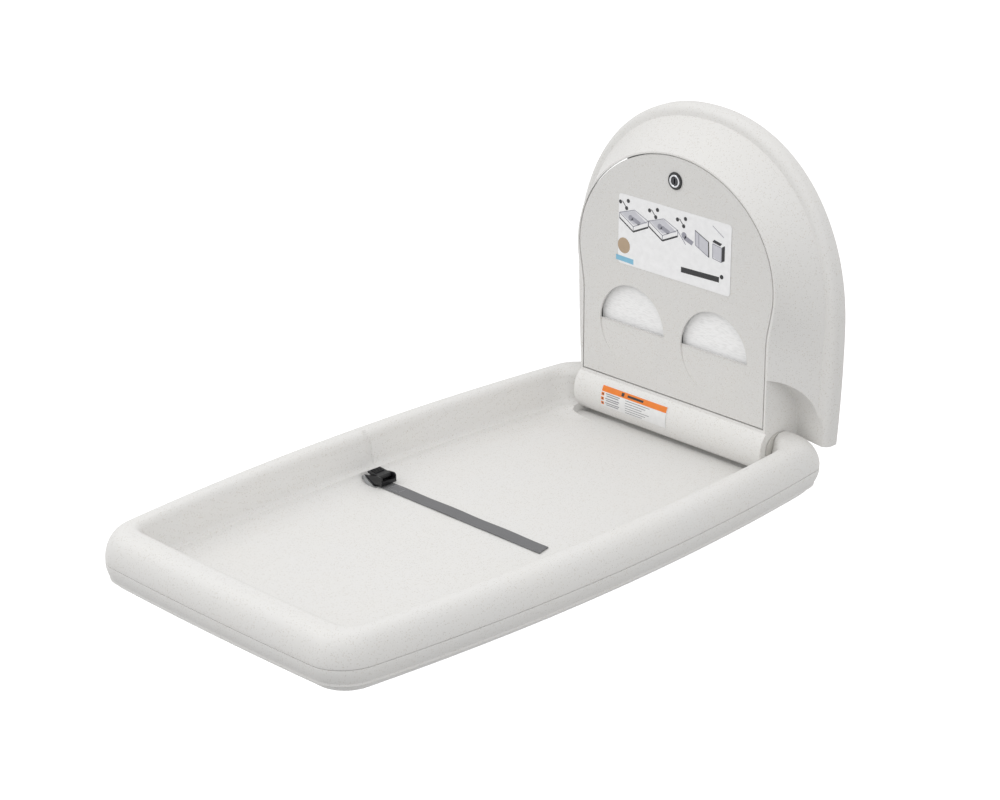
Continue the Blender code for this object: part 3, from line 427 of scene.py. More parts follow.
@dataclass(frozen=True)
class PaperPulp(Finish):
    """Soft crepe tissue, bleached.

    It gives the eye a bright, quite matt white with a fine crinkle across the sheet. Real crepe lines are
    0.4 mm apart; they are drawn 1.3 mm apart.
    """

    shadow: str = "#ececec"
    crepe_mm: float = 1.3

    def shade(
        self, tree: bpy.types.NodeTree, shader: bpy.types.Node, place: bpy.types.NodeSocket
    ) -> None:
        """Creases the tissue.

        Args:
            tree: the material's node tree.
            shader: its Principled shader.
            place: the piece's own coordinates, in metres.
        """
        stretched = add_node(
            tree, "ShaderNodeMapping", {"Scale": (0.15, 1.0, 1.0)}, {"Vector": place}
        ).outputs["Vector"]
        crepe = self.noise(tree, stretched, self.crepe_mm, 3)
        colour = ramp(tree, crepe, [(0.3, linear(self.shadow)), (0.55, linear(self.colour))])
        tree.links.new(colour, shader.inputs["Base Color"])
        self.bump(tree, shader, crepe, 0.25, 0.2)


GRANITE = GraniteMoulding("granite_polyethylene_moulding", "granite_polyethylene", "#e6e5e3", 0.48, 0.0, 0.4)
COVER_GRANITE = GraniteMoulding(
    "cover_polyethylene_moulding", "cover_polyethylene", "#dedddb", 0.46, 0.0, 0.4
)
# Moulded acetal: jet black with a low polish that catches a thin highlight on each rounded edge.
BLACK_ACETAL = Finish("black_acetal_moulding", "black_acetal", "#17171a", 0.34)
WEBBING = Webbing("grey_polyester_webbing", "grey_webbing", "#7c7c7e", 0.86, 0.0, 0.25)
ZINC = BrushedSteel("zinc_plated_sheet_steel", "zinc_plated_steel", "#b9bbbe", 0.36, 1.0)
# Chromium plate on a die casting: a dark and bright mirror with slight polishing haze.
CHROME = Finish("chromed_zinc_casting", "chromed_steel", "#c9cacd", 0.13, 1.0)
# Chromed zinc darkened with painted shade: gives the eye a dark, half-shiny plug inside the bright ring of
# the lock.
SHADED_CHROME = Finish("chromed_zinc_painted_shade", "chromed_steel", "#4a4a4d", 0.3, 1.0)
# Stoved black enamel on drawn tube: satin black with slight orange peel.
ENAMEL = Finish("black_stoved_enamel", "black_painted_steel", "#1d1d1f", 0.4)
TISSUE = PaperPulp("crepe_tissue_liner", "liner_paper", "#fbfbfb", 0.9, 0.0, 0.2)
# Polyester label film: clean white, smoother than the moulding round it.
LABEL_FILM = Finish("white_label_film", "printed_label", "#f7f7f8", 0.35)
WARNING_FILM = Finish("white_warning_film", "orange_label", "#eeeeee", 0.35)
# Screen inks, flat and slightly glossy.
DARK_INK = Finish("black_screen_ink", "printed_label", "#232326", 0.4)
GREY_INK = Finish("grey_screen_ink", "printed_label", "#9c9ca6", 0.4)
PALE_INK = Finish("pale_grey_screen_ink", "printed_label", "#cfcfd6", 0.4)
TAN_INK = Finish("tan_screen_ink", "printed_label", "#b69f85", 0.4)
BLUE_INK = Finish("pale_blue_screen_ink", "printed_label", "#86c1dc", 0.4)
ORANGE_INK = Finish("orange_screen_ink", "orange_label", "#f0832a", 0.4)
WARNING_INK = Finish("dark_warning_ink", "orange_label", "#3a3a3c", 0.4)
# Unfilled acetal: waxy ivory white.
NATURAL_ACETAL = Finish("natural_acetal_moulding", "natural_acetal", "#cfcdc8", 0.38)


# ---------------------------------------------------------------- shapes
def arc(centre: Flat, radii: Flat, start: float, end: float, steps: int) -> list[Flat]:
    """Finds points along an elliptical arc.

    Args:
        centre: the ellipse's centre.
        radii: its two radii.
        start: the first angle, in radians.
        end: the last angle, in radians.
        steps: the number of steps between them.

    Returns:
        The points, both ends included.
    """
    turns = [start + (end - start) * i / steps for i in range(steps + 1)]
    return [(centre[0] + radii[0] * math.cos(a), centre[1] + radii[1] * math.sin(a)) for a in turns]


def smooth_step(share: float) -> float:
    """Eases a share from 0 to 1."""
    share = min(max(share, 0.0), 1.0)
    return share * share * (3 - 2 * share)


def draw_on(bm: BMesh, ring: list[BMVert], points: Iterable[Point]) -> list[BMVert]:
    """Extrudes a closed ring of edges out to the next ring of points.

    Args:
        bm: the mesh.
        ring: the ring's vertices in order.
        points: where each of them ends up.

    Returns:
        The new ring's vertices in order.
    """
    edges = [bm.edges.get((a, b)) for a, b in zip(ring, ring[1:] + ring[:1])]
    grown = bmesh.ops.extrude_edge_only(bm, edges=edges)
    fresh = {g for g in grown["geom"] if isinstance(g, BMVert)}
    after = []
    for vert, point in zip(ring, points):
        following = next(e.other_vert(vert) for e in vert.link_edges if e.other_vert(vert) in fresh)
        following.co = point
        after.append(following)
    return after


def skin(rings: Sequence[Sequence[Point]]) -> BMesh:
    """Makes a closed body through rings of points, each with as many points, capped at both ends.

    Args:
        rings: the rings in order.

    Returns:
        The body.
    """
    bm = bmesh.new()
    ring = [bm.verts.new(p) for p in rings[0]]
    for a, b in zip(ring, ring[1:] + ring[:1]):
        bm.edges.new((a, b))
    for points in rings[1:]:
        ring = draw_on(bm, ring, points)
    bmesh.ops.holes_fill(bm, edges=bm.edges, sides=0)
    return outward(bm)


def outward(bm: BMesh) -> BMesh:
    """Turns a closed body's faces outwards."""
    bmesh.ops.recalc_face_normals(bm, faces=bm.faces)
    if bm.calc_volume(signed=True) < 0:
        bmesh.ops.reverse_faces(bm, faces=bm.faces)
    return bm


def extruded(outline: Sequence[Flat], start: float, end: float, axis: str) -> BMesh:
    """Extrudes an outline along an axis.

    Args:
        outline: points in the plane across the axis, its two coordinates in the order x, y, z.
        start: where along the axis it starts.
        end: where it ends.
        axis: "x", "y" or "z".

    Returns:
        The closed body.
    """
    order = {"x": (2, 0, 1), "y": (0, 2, 1), "z": (0, 1, 2)}[axis]
    bm = bmesh.new()
    corners = []
    for a, b in outline:
        flat = (a, b, start)
        corners.append(bm.verts.new([flat[i] for i in order]))
    face = bm.faces.new(corners)
    grown = bmesh.ops.extrude_face_region(bm, geom=[face])
    along = Vector(((axis == "x"), (axis == "y"), (axis == "z"))) * (end - start)
    moved = [g for g in grown["geom"] if isinstance(g, BMVert)]
    bmesh.ops.translate(bm, verts=moved, vec=along)
    return outward(bm)


def block(low: Point, high: Point, rounding: float = 0.0, segments: int = 3) -> BMesh:
    """Makes a box with rounded edges.

    Args:
        low: its lowest corner.
        high: its highest corner.
        rounding: the radius of its edges.
        segments: the steps in each rounded edge.

    Returns:
        The closed body.
    """
    bm = bmesh.new()
    bmesh.ops.create_cube(bm, size=1.0)
    middle = [(a + b) / 2 for a, b in zip(low, high)]
    bmesh.ops.scale(bm, verts=bm.verts, vec=[b - a for a, b in zip(low, high)])
    bmesh.ops.translate(bm, verts=bm.verts, vec=middle)
    if rounding:
        soften(bm, lambda edge: True, rounding, segments)
    return bm


def soften(bm: BMesh, wanted: Callable[[BMEdge], bool], radius: float, segments: int = 3) -> BMesh:
    """Rounds chosen edges.

    Args:
        bm: the mesh.
        wanted: says whether an edge is rounded.
        radius: the width of the rounding.
        segments: its steps.

    Returns:
        The same mesh.
    """
    edges = [e for e in bm.edges if wanted(e)]
    bmesh.ops.bevel(
        bm,
        geom=edges,
        offset=radius,
        offset_type="OFFSET",
        segments=segments,
        profile=0.5,
        affect="EDGES",
        clamp_overlap=True,
        material=-1,
    )
    return bm


def turned(profile: Sequence[Flat], centre: Point, axis: str, steps: int = 48) -> BMesh:
    """Spins a profile once round an axis.

    Args:
        profile: points as distance from the axis and place along it; it ends on the axis or closes up.
        centre: a point on the axis, from which places are measured.
        axis: "x", "y" or "z".
        steps: the steps in the turn.

    Returns:
        The closed body.
    """
    along = "xyz".index(axis)
    across = (along + 1) % 3
    bm = bmesh.new()
    verts = []
    for radius, place in profile:
        point = [0.0, 0.0, 0.0]
        point[along], point[across] = place, radius
        verts.append(bm.verts.new(Vector(point) + Vector(centre)))
    pairs = list(zip(verts, verts[1:]))
    if profile[0][0] > 1e-9 or profile[-1][0] > 1e-9:
        pairs.append((verts[-1], verts[0]))
    for a, b in pairs:
        bm.edges.new((a, b))
    direction = Vector([float(i == along) for i in range(3)])
    bmesh.ops.spin(
        bm,
        geom=list(bm.verts) + list(bm.edges),
        cent=centre,
        axis=direction,
        angle=math.tau,
        steps=steps,
        use_merge=True,
        use_duplicate=False,
    )
    bmesh.ops.remove_doubles(bm, verts=bm.verts, dist=1e-6)
    return outward(bm)


def combined(target: BMesh, tool: BMesh, operation: str = "DIFFERENCE") -> BMesh:
    """Cuts one body out of another, or joins them.

    Args:
        target: the body that stays.
        tool: the body that is cut out or joined on.
        operation: "DIFFERENCE" or "UNION".

    Returns:
        The new body. Both bodies that went in are used up.
    """
    pair = []
    for bm in (target, tool):
        mesh = bpy.data.meshes.new("working")
        bm.to_mesh(mesh)
        bm.free()
        pair.append(bpy.data.objects.new("working", mesh))
        bpy.context.scene.collection.objects.link(pair[-1])
    step = pair[0].modifiers.new("combine", "BOOLEAN")
    step.operation, step.solver, step.object = operation, "EXACT", pair[1]
    bpy.context.view_layer.update()
    graph = bpy.context.evaluated_depsgraph_get()
    result = bmesh.new()
    result.from_mesh(pair[0].evaluated_get(graph).to_mesh())
    for used in pair:
        mesh = used.data
        bpy.data.objects.remove(used)
        bpy.data.meshes.remove(mesh)
    bmesh.ops.remove_doubles(result, verts=result.verts, dist=2e-6)
    return result


def join(first: BMesh, second: BMesh) -> BMesh:
    """Puts a second body into the first one's mesh, unmerged, and uses it up."""
    mesh = bpy.data.meshes.new("working")
    second.to_mesh(mesh)
    second.free()
    first.from_mesh(mesh)
    bpy.data.meshes.remove(mesh)
    return first


@dataclass
class Piece:
    """How one visible piece is finished and what it rides on.

    Attributes:
        name: the piece's name.
        finish: its material.
        body: the body that it moves with.
        replaces: the CAD nodes that it stands for.
        edge: width of a fine bevel on its sharp edges, or zero.
        sharp: the angle past which an edge is sharp, in degrees.
    """

    name: str
    finish: Finish
    body: Body
    replaces: tuple[str, ...] = ()
    edge: float = 0.0
    sharp: float = 38.0

    def place(self, bm: BMesh) -> bpy.types.Object:
        """Makes the piece from a mesh in the part's frame, and uses the mesh up.

        Args:
            bm: the piece's shape.

        Returns:
            The finished object, at the origin.
        """
        mesh = bpy.data.meshes.new(self.name)
        bm.to_mesh(mesh)
        bm.free()
        mesh.materials.append(self.finish.material())
        made = bpy.data.objects.new(self.name, mesh)
        bpy.context.scene.collection.objects.link(made)
        mesh.shade_smooth()
        mesh.set_sharp_from_angle(angle=math.radians(self.sharp))
        if self.edge:
            bevel = made.modifiers.new("edge", "BEVEL")
            bevel.width, bevel.segments = self.edge, 2
            bevel.limit_method, bevel.angle_limit = "ANGLE", math.radians(self.sharp)
        weighted = made.modifiers.new("flats", "WEIGHTED_NORMAL")
        weighted.keep_sharp = True
        bpy.context.view_layer.update()
        graph = bpy.context.evaluated_depsgraph_get()
        whole = bpy.data.meshes.new_from_object(made.evaluated_get(graph))
        made.modifiers.clear()
        made.data = whole
        bpy.data.meshes.remove(mesh)
        whole.name = self.name
        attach(made, self.body.value)
        if self.replaces:
            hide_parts(*self.replaces)
        LOG.info("%s: %d faces, rides on %s", self.name, len(whole.polygons), self.body.value)
        return made


# ---------------------------------------------------------------- bed
@dataclass
class Bed:
    """The two-shell bed: a deep tray with a bullnose rim, ears at the hinge and a closed underside."""

    hinge_out: float = 0.0555
    width: float = 0.535
    bow: float = 0.034
    far_bow: float = 0.003
    reach: float = 0.8655
    tail: float = 0.0383
    depth: float = 0.060
    seam_drop: float = 0.018
    seam_gap: float = 0.0004
    seam_round: float = 0.0012
    crest_rise: float = 0.0215
    floor_drop: float = 0.0382
    ledge_drop: float = 0.0265
    rim_round: float = 0.026
    crest_flat: float = 0.006
    inner_round: float = 0.0105
    inner_round_depth: float = 0.0145
    wall_lean: float = 0.0065
    ledge_width: float = 0.007
    step_round: float = 0.019
    belly_round: float = 0.040
    far_extra: float = 0.008
    far_corner: float = 0.0515
    far_corner_least: float = 0.013
    ear_corner: float = 0.030
    ear_corner_growth: float = 0.43
    corner_shrink: float = 0.75
    shell_wall: float = 0.0035
    rim_edge: float = 0.005
    ear_face: float = 0.1755
    floor_setback: float = 0.0173
    step_foot: float = 0.0385
    trough_end: float = 0.0115
    flute_at: float = -0.3925
    flute_half: float = 0.0052
    flute_depth: float = 0.0034
    side_steps: int = 40
    corner_steps: int = 12
    far_steps: int = 10

    def stations(self) -> list[float]:
        """Gives the shares along a side where a ring has a point, closer together at the flute."""
        top, bottom = self.tail, -self.reach
        spaced = [i / self.side_steps for i in range(1, self.side_steps)]
        centre = (top - self.flute_at) / (top - bottom)
        fine = self.flute_half / (top - bottom)
        near = [centre + fine * i / 5 for i in range(-6, 7)]
        clear = [s for s in spaced if abs(s - centre) > fine * 1.5]
        return sorted(clear + near)

    def flute(self, y: float, inset: float) -> float:
        """Gives how far the inner wall is drawn outwards at a place, for the flute down to the buckle.

        Args:
            y: the place along the bed.
            inset: how far in from the outline the ring is.

        Returns:
            The depth of the flute there.
        """
        away = abs(y - self.flute_at) / self.flute_half
        if away >= 1:
            return 0.0
        crest = self.rim_round + self.crest_flat
        foot = crest + self.inner_round + self.wall_lean
        fade = smooth_step((inset - crest) / 0.006) * smooth_step((foot + 0.012 - inset) / 0.008)
        return self.flute_depth * math.sqrt(1 - away * away) * fade

    def ring(self, inset: float, z: float) -> list[Point]:
        """Gives the bed's outline in plan.

        Args:
            inset: how far in from the widest outline.
            z: its height.

        Returns:
            Its points in the part's frame.
        """
        half = self.width / 2 - inset
        back = self.tail - inset
        drawn = self.far_extra * smooth_step((inset - 0.018) / 0.024)
        far = -self.reach + inset + drawn
        far_round = max(self.far_corner - self.corner_shrink * inset, self.far_corner_least)
        ear_round = self.ear_corner + self.ear_corner_growth * inset
        points = arc((half - ear_round, back - ear_round), (ear_round,) * 2, QUARTER, 0.0, self.corner_steps)
        top, bottom = back - ear_round, far + far_round + self.far_bow
        start, end = self.tail, -self.reach
        for share in self.stations():
            y = start + (end - start) * share
            if bottom + 1e-4 < y < top - 1e-4:
                points.append((half + self.flute(y, inset), y))
            else:
                points.append((half, min(max(y, bottom), top)))
        corner = arc((half - far_round, bottom), (far_round,) * 2, 0.0, -QUARTER, self.corner_steps)
        points += corner
        edge = half - far_round
        for i in range(1, self.far_steps):
            across = edge * (1 - i / self.far_steps)
            points.append((across, far + self.far_bow * (across / edge) ** 2))
        points.append((0.0, far))
        points += [(-x, y) for x, y in reversed(points[:-1])] + [(0.0, back)]
        middle = (self.tail - self.reach) / 2
        length = (self.tail + self.reach) / 2
        bow = 2 * self.bow / self.width
        return [
            (x * (1 - bow * ((y - middle) / length) ** 2), y - self.hinge_out, z) for x, y in points
        ]

    def rim_profile(self) -> list[Flat]:
        """Gives inset and height from the seam over the rim and down to the floor."""
        rise = self.crest_rise + self.seam_drop
        points = arc((self.rim_round, -self.seam_drop), (self.rim_round, rise), math.pi, QUARTER, 16)[1:]
        points = [(p, z) for p, z in points if z > -self.seam_drop + self.seam_round]
        crest = self.rim_round + self.crest_flat
        radii = (self.inner_round, self.inner_round_depth)
        points += arc((crest, self.crest_rise - self.inner_round_depth), radii, QUARTER, 0.0, 8)
        foot = crest + self.inner_round + self.wall_lean
        ledge = -self.ledge_drop
        points += [(foot - 0.0012, ledge + 0.0065), (foot - 0.0002, ledge + 0.0030)]
        points += [(foot + 0.0012, ledge + 0.0009), (foot + 0.0030, ledge)]
        end = foot + 0.002 + self.ledge_width
        points += [(end - 0.0012, ledge), (end - 0.0003, ledge - 0.0004)]
        drop = self.floor_drop - self.ledge_drop
        points += arc((end + self.step_round, ledge), (self.step_round, drop), math.pi, 1.5 * math.pi, 10)[1:]
        return points + [(end + self.step_round + 0.003, -self.floor_drop)]

    def gap(self, start: float, low: float, high: float) -> BMesh:
        """Makes the space between the ears, from `start` back, between two heights."""
        back = self.tail + 0.05 - self.hinge_out
        return block((-self.ear_face, start - self.hinge_out, low), (self.ear_face, back, high))

    def on_cut(self, edge: BMEdge) -> bool:
        """Says whether an edge lies on the inner face of an ear or on the floor's hinge edge."""
        setback = -self.hinge_out - self.floor_setback
        ends = [v.co for v in edge.verts]
        if not any(face.calc_area() > 2e-4 for face in edge.link_faces):
            return False
        ear = all(abs(abs(c.x) - self.ear_face) < 1e-5 and c.y > setback - 1e-5 for c in ends)
        floor = all(abs(c.y - setback) < 1e-5 and c.z > -self.floor_drop - 1e-5 for c in ends)
        level = abs(ends[0].z - ends[1].z) > 1e-5 or ends[0].z > -self.floor_drop - 0.02
        return (ear and level) or floor

    def top_shell(self) -> BMesh:
        """Makes the upper shell: rim, ears, inner walls, ledge and floor."""
        under = -self.floor_drop - self.shell_wall
        edge, lip = self.seam_round, -self.seam_drop
        rings = [self.ring(self.rim_edge, under), self.ring(self.rim_edge, lip)]
        rings += [self.ring(edge, lip), self.ring(edge * 0.3, lip + edge * 0.3)]
        rings += [self.ring(inset, z) for inset, z in self.rim_profile()]
        shell = skin(rings)
        shell = combined(shell, self.gap(-self.floor_setback, -0.1, 0.08))
        shell = combined(shell, self.gap(-self.step_foot, -self.floor_drop, 0.08))
        bmesh.ops.remove_doubles(shell, verts=shell.verts, dist=1e-5)
        return soften(shell, self.on_cut, 0.0016, 3)

    def trough(self, grow: float) -> BMesh:
        """Makes the round hollow under the hinge barrel, `grow` larger all round."""
        radius = math.hypot(self.floor_drop, self.floor_setback) + grow
        half = self.ear_face + grow
        profile = [(0.0, -half), (radius, -half), (radius, half), (0.0, half)]
        return turned(profile, (0.0, -self.hinge_out, 0.0), "x", 72)

    def bottom_shell(self) -> BMesh:
        """Makes the lower shell, a pan with the trough that runs under the hinge barrel."""
        seam = -self.seam_drop - self.seam_gap
        rise = self.depth - self.seam_drop - self.seam_gap
        edge, wall = self.seam_round, self.shell_wall
        belly = arc((self.belly_round, seam), (self.belly_round, rise), math.pi, 1.5 * math.pi, 16)[1:]
        belly = [(p, z) for p, z in belly if z < seam - edge]
        rings = [self.ring(wall, seam), self.ring(edge, seam), self.ring(edge * 0.3, seam - edge * 0.3)]
        rings += [self.ring(inset, z) for inset, z in belly]
        rings.append(self.ring(self.belly_round + 0.004, -self.depth))
        shell = skin(rings)
        radii = (self.belly_round - wall, rise - wall)
        inner = arc((self.belly_round, seam), radii, math.pi, 1.5 * math.pi, 10)
        hollow = skin([self.ring(wall, 0.01)] + [self.ring(inset, z) for inset, z in inner])
        tail = self.gap(self.trough_end - wall, -0.1, 0.08)
        bmesh.ops.scale(tail, verts=tail.verts, vec=(1 + wall / self.ear_face, 1.0, 1.0))
        hollow = combined(combined(hollow, tail), self.trough(wall))
        shell = combined(combined(shell, self.gap(self.trough_end, -0.1, 0.08)), self.trough(0.0))
        shell = combined(shell, hollow)
        half, back = self.ear_face + wall + 0.0003, self.tail - self.rim_edge + 0.0003
        under = -self.floor_drop - wall - 0.0003
        trim = block((-half, -0.045 - self.hinge_out, under), (half, back - self.hinge_out, 0.05))
        return combined(shell, trim)

    def build(self) -> None:
        """Builds both shells."""
        Piece("bed_tray", GRANITE, Body.BED, ("bed_top_shell",)).place(self.top_shell())
        Piece("bed_underside", GRANITE, Body.BED, ("bed_bottom_shell",)).place(self.bottom_shell())


# ---------------------------------------------------------------- wall unit
@dataclass
class WallUnit:
    """The arched housing, the dispenser cover set in its face and the hinge barrel below them."""

    width: float = 0.4806
    top: float = 0.4404
    pod_depth: float = 0.0798
    hinge_out: float = 0.0555
    flange_thick: float = 0.0223
    flange_foot: float = 0.0067
    flange_narrowing: float = 0.0063
    flange_shoulder: float = 0.1691
    flange_power: float = 2.15
    wall: float = 0.0035
    edge_round: float = 0.0115
    flare_edge: float = 0.017
    flare_sag: float = 0.0015
    cheek: float = 0.1725
    barrel_radius: float = 0.0365
    barrel_start: float = 0.0272
    barrel_wall: float = 0.003
    barrel_half: float = 0.1748
    hub_hole: float = 0.0226
    rod_hole: float = 0.0080
    pocket_top: float = 0.1055
    pocket_side: float = 0.2280
    pocket_back: float = 0.0125
    pocket_round: float = 0.009
    cover_foot: float = 0.033
    cover_half_foot: float = 0.168
    cover_half_hip: float = 0.1777
    cover_shoulder: float = 0.2236
    cover_top: float = 0.3822
    cover_waist: float = 0.62
    cover_thick: float = 0.003
    cover_gap: float = 0.0017
    lip_width: float = 0.0025
    mouth_depth: float = 0.006
    slot_radius: float = 0.0606
    slot_apart: float = 0.1524
    slot_up: float = 0.1171
    scoop: float = 0.0021
    lock_up: float = 0.3492
    lock_hole: float = 0.0098
    side_steps: int = 28
    arch_steps: int = 32

    def cover_outline(self, grow: float = 0.0, foot_grow: float = 0.0) -> list[Flat]:
        """Gives the cover's outline from the right foot over the arch to the left foot.

        Args:
            grow: how much wider it is all round.
            foot_grow: how much lower its foot is.

        Returns:
            Its points in x and z.
        """
        points: list[Flat] = []
        for i in range(self.side_steps):
            f = i / self.side_steps
            z = self.cover_foot + (self.cover_shoulder - self.cover_foot) * f
            hip = smooth_step((f - self.cover_waist) / (1 - self.cover_waist))
            x = self.cover_half_foot + (self.cover_half_hip - self.cover_half_foot) * hip + grow
            points.append((x, z - foot_grow if i == 0 else z))
        radii = (self.cover_half_hip + grow, self.cover_top - self.cover_shoulder + grow)
        points += arc((0.0, self.cover_shoulder), radii, 0.0, QUARTER, self.arch_steps)
        return points + [(-x, z) for x, z in reversed(points[:-1])]

    def flange_outline(self) -> list[Flat]:
        """Gives the housing's back edge, point for point with the cover's outline."""
        half, rise = self.width / 2, self.top - self.flange_shoulder
        points: list[Flat] = []
        for i in range(self.side_steps):
            f = i / self.side_steps
            z = self.flange_foot + (self.flange_shoulder - self.flange_foot) * f
            points.append((half - self.flange_narrowing * (1 - f) ** 2, z))
        power = 2 / self.flange_power
        for i in range(self.arch_steps + 1):
            a = QUARTER * i / self.arch_steps
            x = half * math.cos(a) ** power if i < self.arch_steps else 0.0
            points.append((x, self.flange_shoulder + rise * math.sin(a) ** power))
        return points + [(-x, z) for x, z in reversed(points[:-1])]

    def section(self, share: float, y: float, foot: float) -> list[Point]:
        """Gives the housing's section at a depth.

        Args:
            share: how far it is from the cover's outline to the flange's.
            y: the depth.
            foot: the height of its foot.

        Returns:
            Its points.
        """
        found = []
        for (cx, cz), (fx, fz) in zip(self.cover_outline(), self.flange_outline()):
            found.append((cx + (fx - cx) * share, y, cz + (fz - cz) * share))
        low = min(p[2] for p in found)
        return [(x, y, foot if z <= low + 1e-6 else max(z, foot + 0.001)) for x, y, z in found]

    def sections(self, wall: float) -> list[list[Point]]:
        """Gives sections from the face of the pod down its flare to the flange's edge.

        Args:
            wall: how far they are drawn in under the skin.

        Returns:
            The sections from front to back.
        """
        span = self.width / 2 - self.cover_half_hip
        foot = self.flange_foot + wall
        edge = 1 - wall / span
        shoulder = 1 - (self.flare_edge + wall * 0.45) / span
        face, flange = self.pod_depth - wall, self.flange_thick - wall
        lip = (self.cover_gap + (0.0 if wall else self.lip_width)) / span
        rings = [] if wall else [self.section(self.cover_gap / span, -face, foot)]
        for share, drop in ((0.0, 0.0), (0.007, 0.0003), (0.014, 0.0009), (0.022, 0.0016), (0.03, 0.0024)):
            rings.append(self.section(lip + share, -(face - drop), foot))
        start, top = lip + 0.03, face - 0.0024
        for i in range(1, 15):
            f = i / 14
            share = start + (shoulder - start) * f
            sag = self.flare_sag * math.sin(math.pi * f)
            rings.append(self.section(share, -(top + (flange - top) * f - sag), foot))
        radius = self.edge_round - wall
        for i in range(9):
            a = QUARTER * i / 8
            share = edge - radius / span * (1 - math.sin(a))
            rings.append(self.section(share, -(flange - radius * (1 - math.cos(a))), foot))
        return rings

    def pocket(self, side: Side, grow: float) -> BMesh:
        """Makes the hollow beside the hinge that the bed's ear turns in.

        Args:
            side: which ear.
            grow: how much larger it is all round.

        Returns:
            The hollow as a body.
        """
        back, front = -self.pocket_back + grow, -0.120
        peak, waist = self.pocket_top + grow, 0.032
        rise = peak - waist + 0.001
        ceiling = arc((-0.094, waist), (0.094 + back, rise), 0.0, QUARTER, 14)
        outline = [(back, -0.06)] + ceiling + [(front, waist + rise), (front, -0.06)]
        start, end = sorted((side.value * (self.cheek - grow), side.value * (self.pocket_side + grow)))
        bm = extruded(outline, start, end, "x")
        inner = start if side is Side.RIGHT else end
        shallow = (self.flange_thick - 0.0001 - grow + front) / (-back + front)
        for vert in bm.verts:
            if abs(vert.co.x - inner) > 1e-6:
                vert.co.y = front + (vert.co.y - front) * shallow

        def rear(edge: BMEdge) -> bool:
            ends = [v.co for v in edge.verts]
            flat = all(abs(c.x - inner) < 1e-6 for c in ends)
            return flat and all(c.y > front + 0.001 for c in ends) and max(c.z for c in ends) > -0.059

        return soften(bm, rear, self.pocket_round, 6)

    def housing(self) -> BMesh:
        """Makes the housing, hollow behind."""
        shell = skin(self.sections(0.0) + [self.section(1.0, 0.0, self.flange_foot)])
        inner = self.sections(self.wall)
        hollow = skin(inner + [[(x, 0.01, z) for x, _, z in inner[-1]]])
        for side in Side:
            shell = combined(shell, self.pocket(side, 0.0))
            hollow = combined(hollow, self.pocket(side, self.wall))
        shell = combined(shell, hollow)
        gap, front = self.cover_gap, -self.pod_depth
        mouth = extruded(self.cover_outline(gap, gap), front - 0.01, front + self.mouth_depth, "y")
        shell = combined(shell, mouth)
        inside = self.cheek - self.wall
        for radius, half in ((self.barrel_radius - 0.0004, inside), (self.hub_hole, self.cheek + 0.02)):
            profile = [(0.0, -half), (radius, -half), (radius, half), (0.0, half)]
            shell = combined(shell, turned(profile, (0.0, -self.hinge_out, 0.0), "x", 72))
        opening = block((-inside, -self.pod_depth + self.wall, -0.05), (inside, 0.01, self.cover_foot))
        return combined(shell, opening)

    def barrel(self) -> BMesh:
        """Makes the moulded cover round the hinge rod, open to the wall."""
        start = math.pi - math.asin(self.barrel_start / self.barrel_radius)
        end = math.radians(300)
        centre = (-self.hinge_out, 0.0)
        outer = arc(centre, (self.barrel_radius,) * 2, start, end, 44)
        inner = arc(centre, (self.barrel_radius - self.barrel_wall,) * 2, end, start, 44)
        bm = extruded(outer + inner, -self.barrel_half, self.barrel_half, "x")
        rim, inside, outside = self.barrel_radius - 0.0001, self.cheek - self.wall, self.cheek - 0.0004
        for side in Side:
            start, end = sorted((side.value * inside, side.value * outside))
            profile = [(self.rod_hole, start), (rim, start), (rim, end), (self.rod_hole, end)]
            join(bm, turned(profile, (0.0, -self.hinge_out, 0.0), "x", 72))
        return bm

    def cover(self) -> BMesh:
        """Makes the dispenser cover, with its two openings, thumb scoops and the lock's hole."""
        front = -self.pod_depth
        steps = (
            (-0.0011, 0.0),
            (-0.0004, 0.0002),
            (0.0, 0.0009),
            (0.0, 0.0078),
            (-0.0004, 0.0082),
            (-0.0020, 0.0082),
            (-0.0022, self.cover_thick),
        )
        rings = []
        for grow, back in steps:
            rings.append([(x, front + back, z) for x, z in self.cover_outline(grow, grow)])
        bm = skin(rings)
        for side in Side:
            bm = combined(bm, self.scoop_cut(side))
            middle = side.value * self.slot_apart / 2
            moon = arc((middle, self.slot_up), (self.slot_radius,) * 2, 0.0, math.pi, 48)
            bm = combined(bm, extruded(moon, front - 0.005, front + 0.02, "y"))
        hole = turned(
            [(0.0, -0.01), (self.lock_hole, -0.01), (self.lock_hole, 0.02), (0.0, 0.02)],
            (0.0, front, self.lock_up),
            "y",
        )
        return combined(bm, hole)

    def scoop_cut(self, side: Side) -> BMesh:
        """Makes the shallow tilted disc that is cut below an opening, deepest at the opening's lip."""
        middle = side.value * self.slot_apart / 2
        radius, front = self.slot_radius, -self.pod_depth
        disc = arc((middle, self.slot_up), (radius - 0.0006,) * 2, math.pi, math.tau, 48)
        bm = extruded(disc, front - 0.01, front, "y")
        foot = Vector((middle, front, self.slot_up - radius))
        turn = Matrix.Rotation(-math.atan2(self.scoop, radius), 3, "X")
        bmesh.ops.rotate(bm, verts=bm.verts, cent=foot, matrix=turn)
        return bm

    def build(self) -> None:
        """Builds the housing, the barrel and the cover."""
        Piece("housing", GRANITE, Body.WALL, ("housing_shell",)).place(self.housing())
        Piece("hinge_barrel", GRANITE, Body.WALL, ("hinge_barrel_cover",)).place(self.barrel())
        Piece("liner_cover", COVER_GRANITE, Body.COVER, ("dispenser_cover",)).place(self.cover())


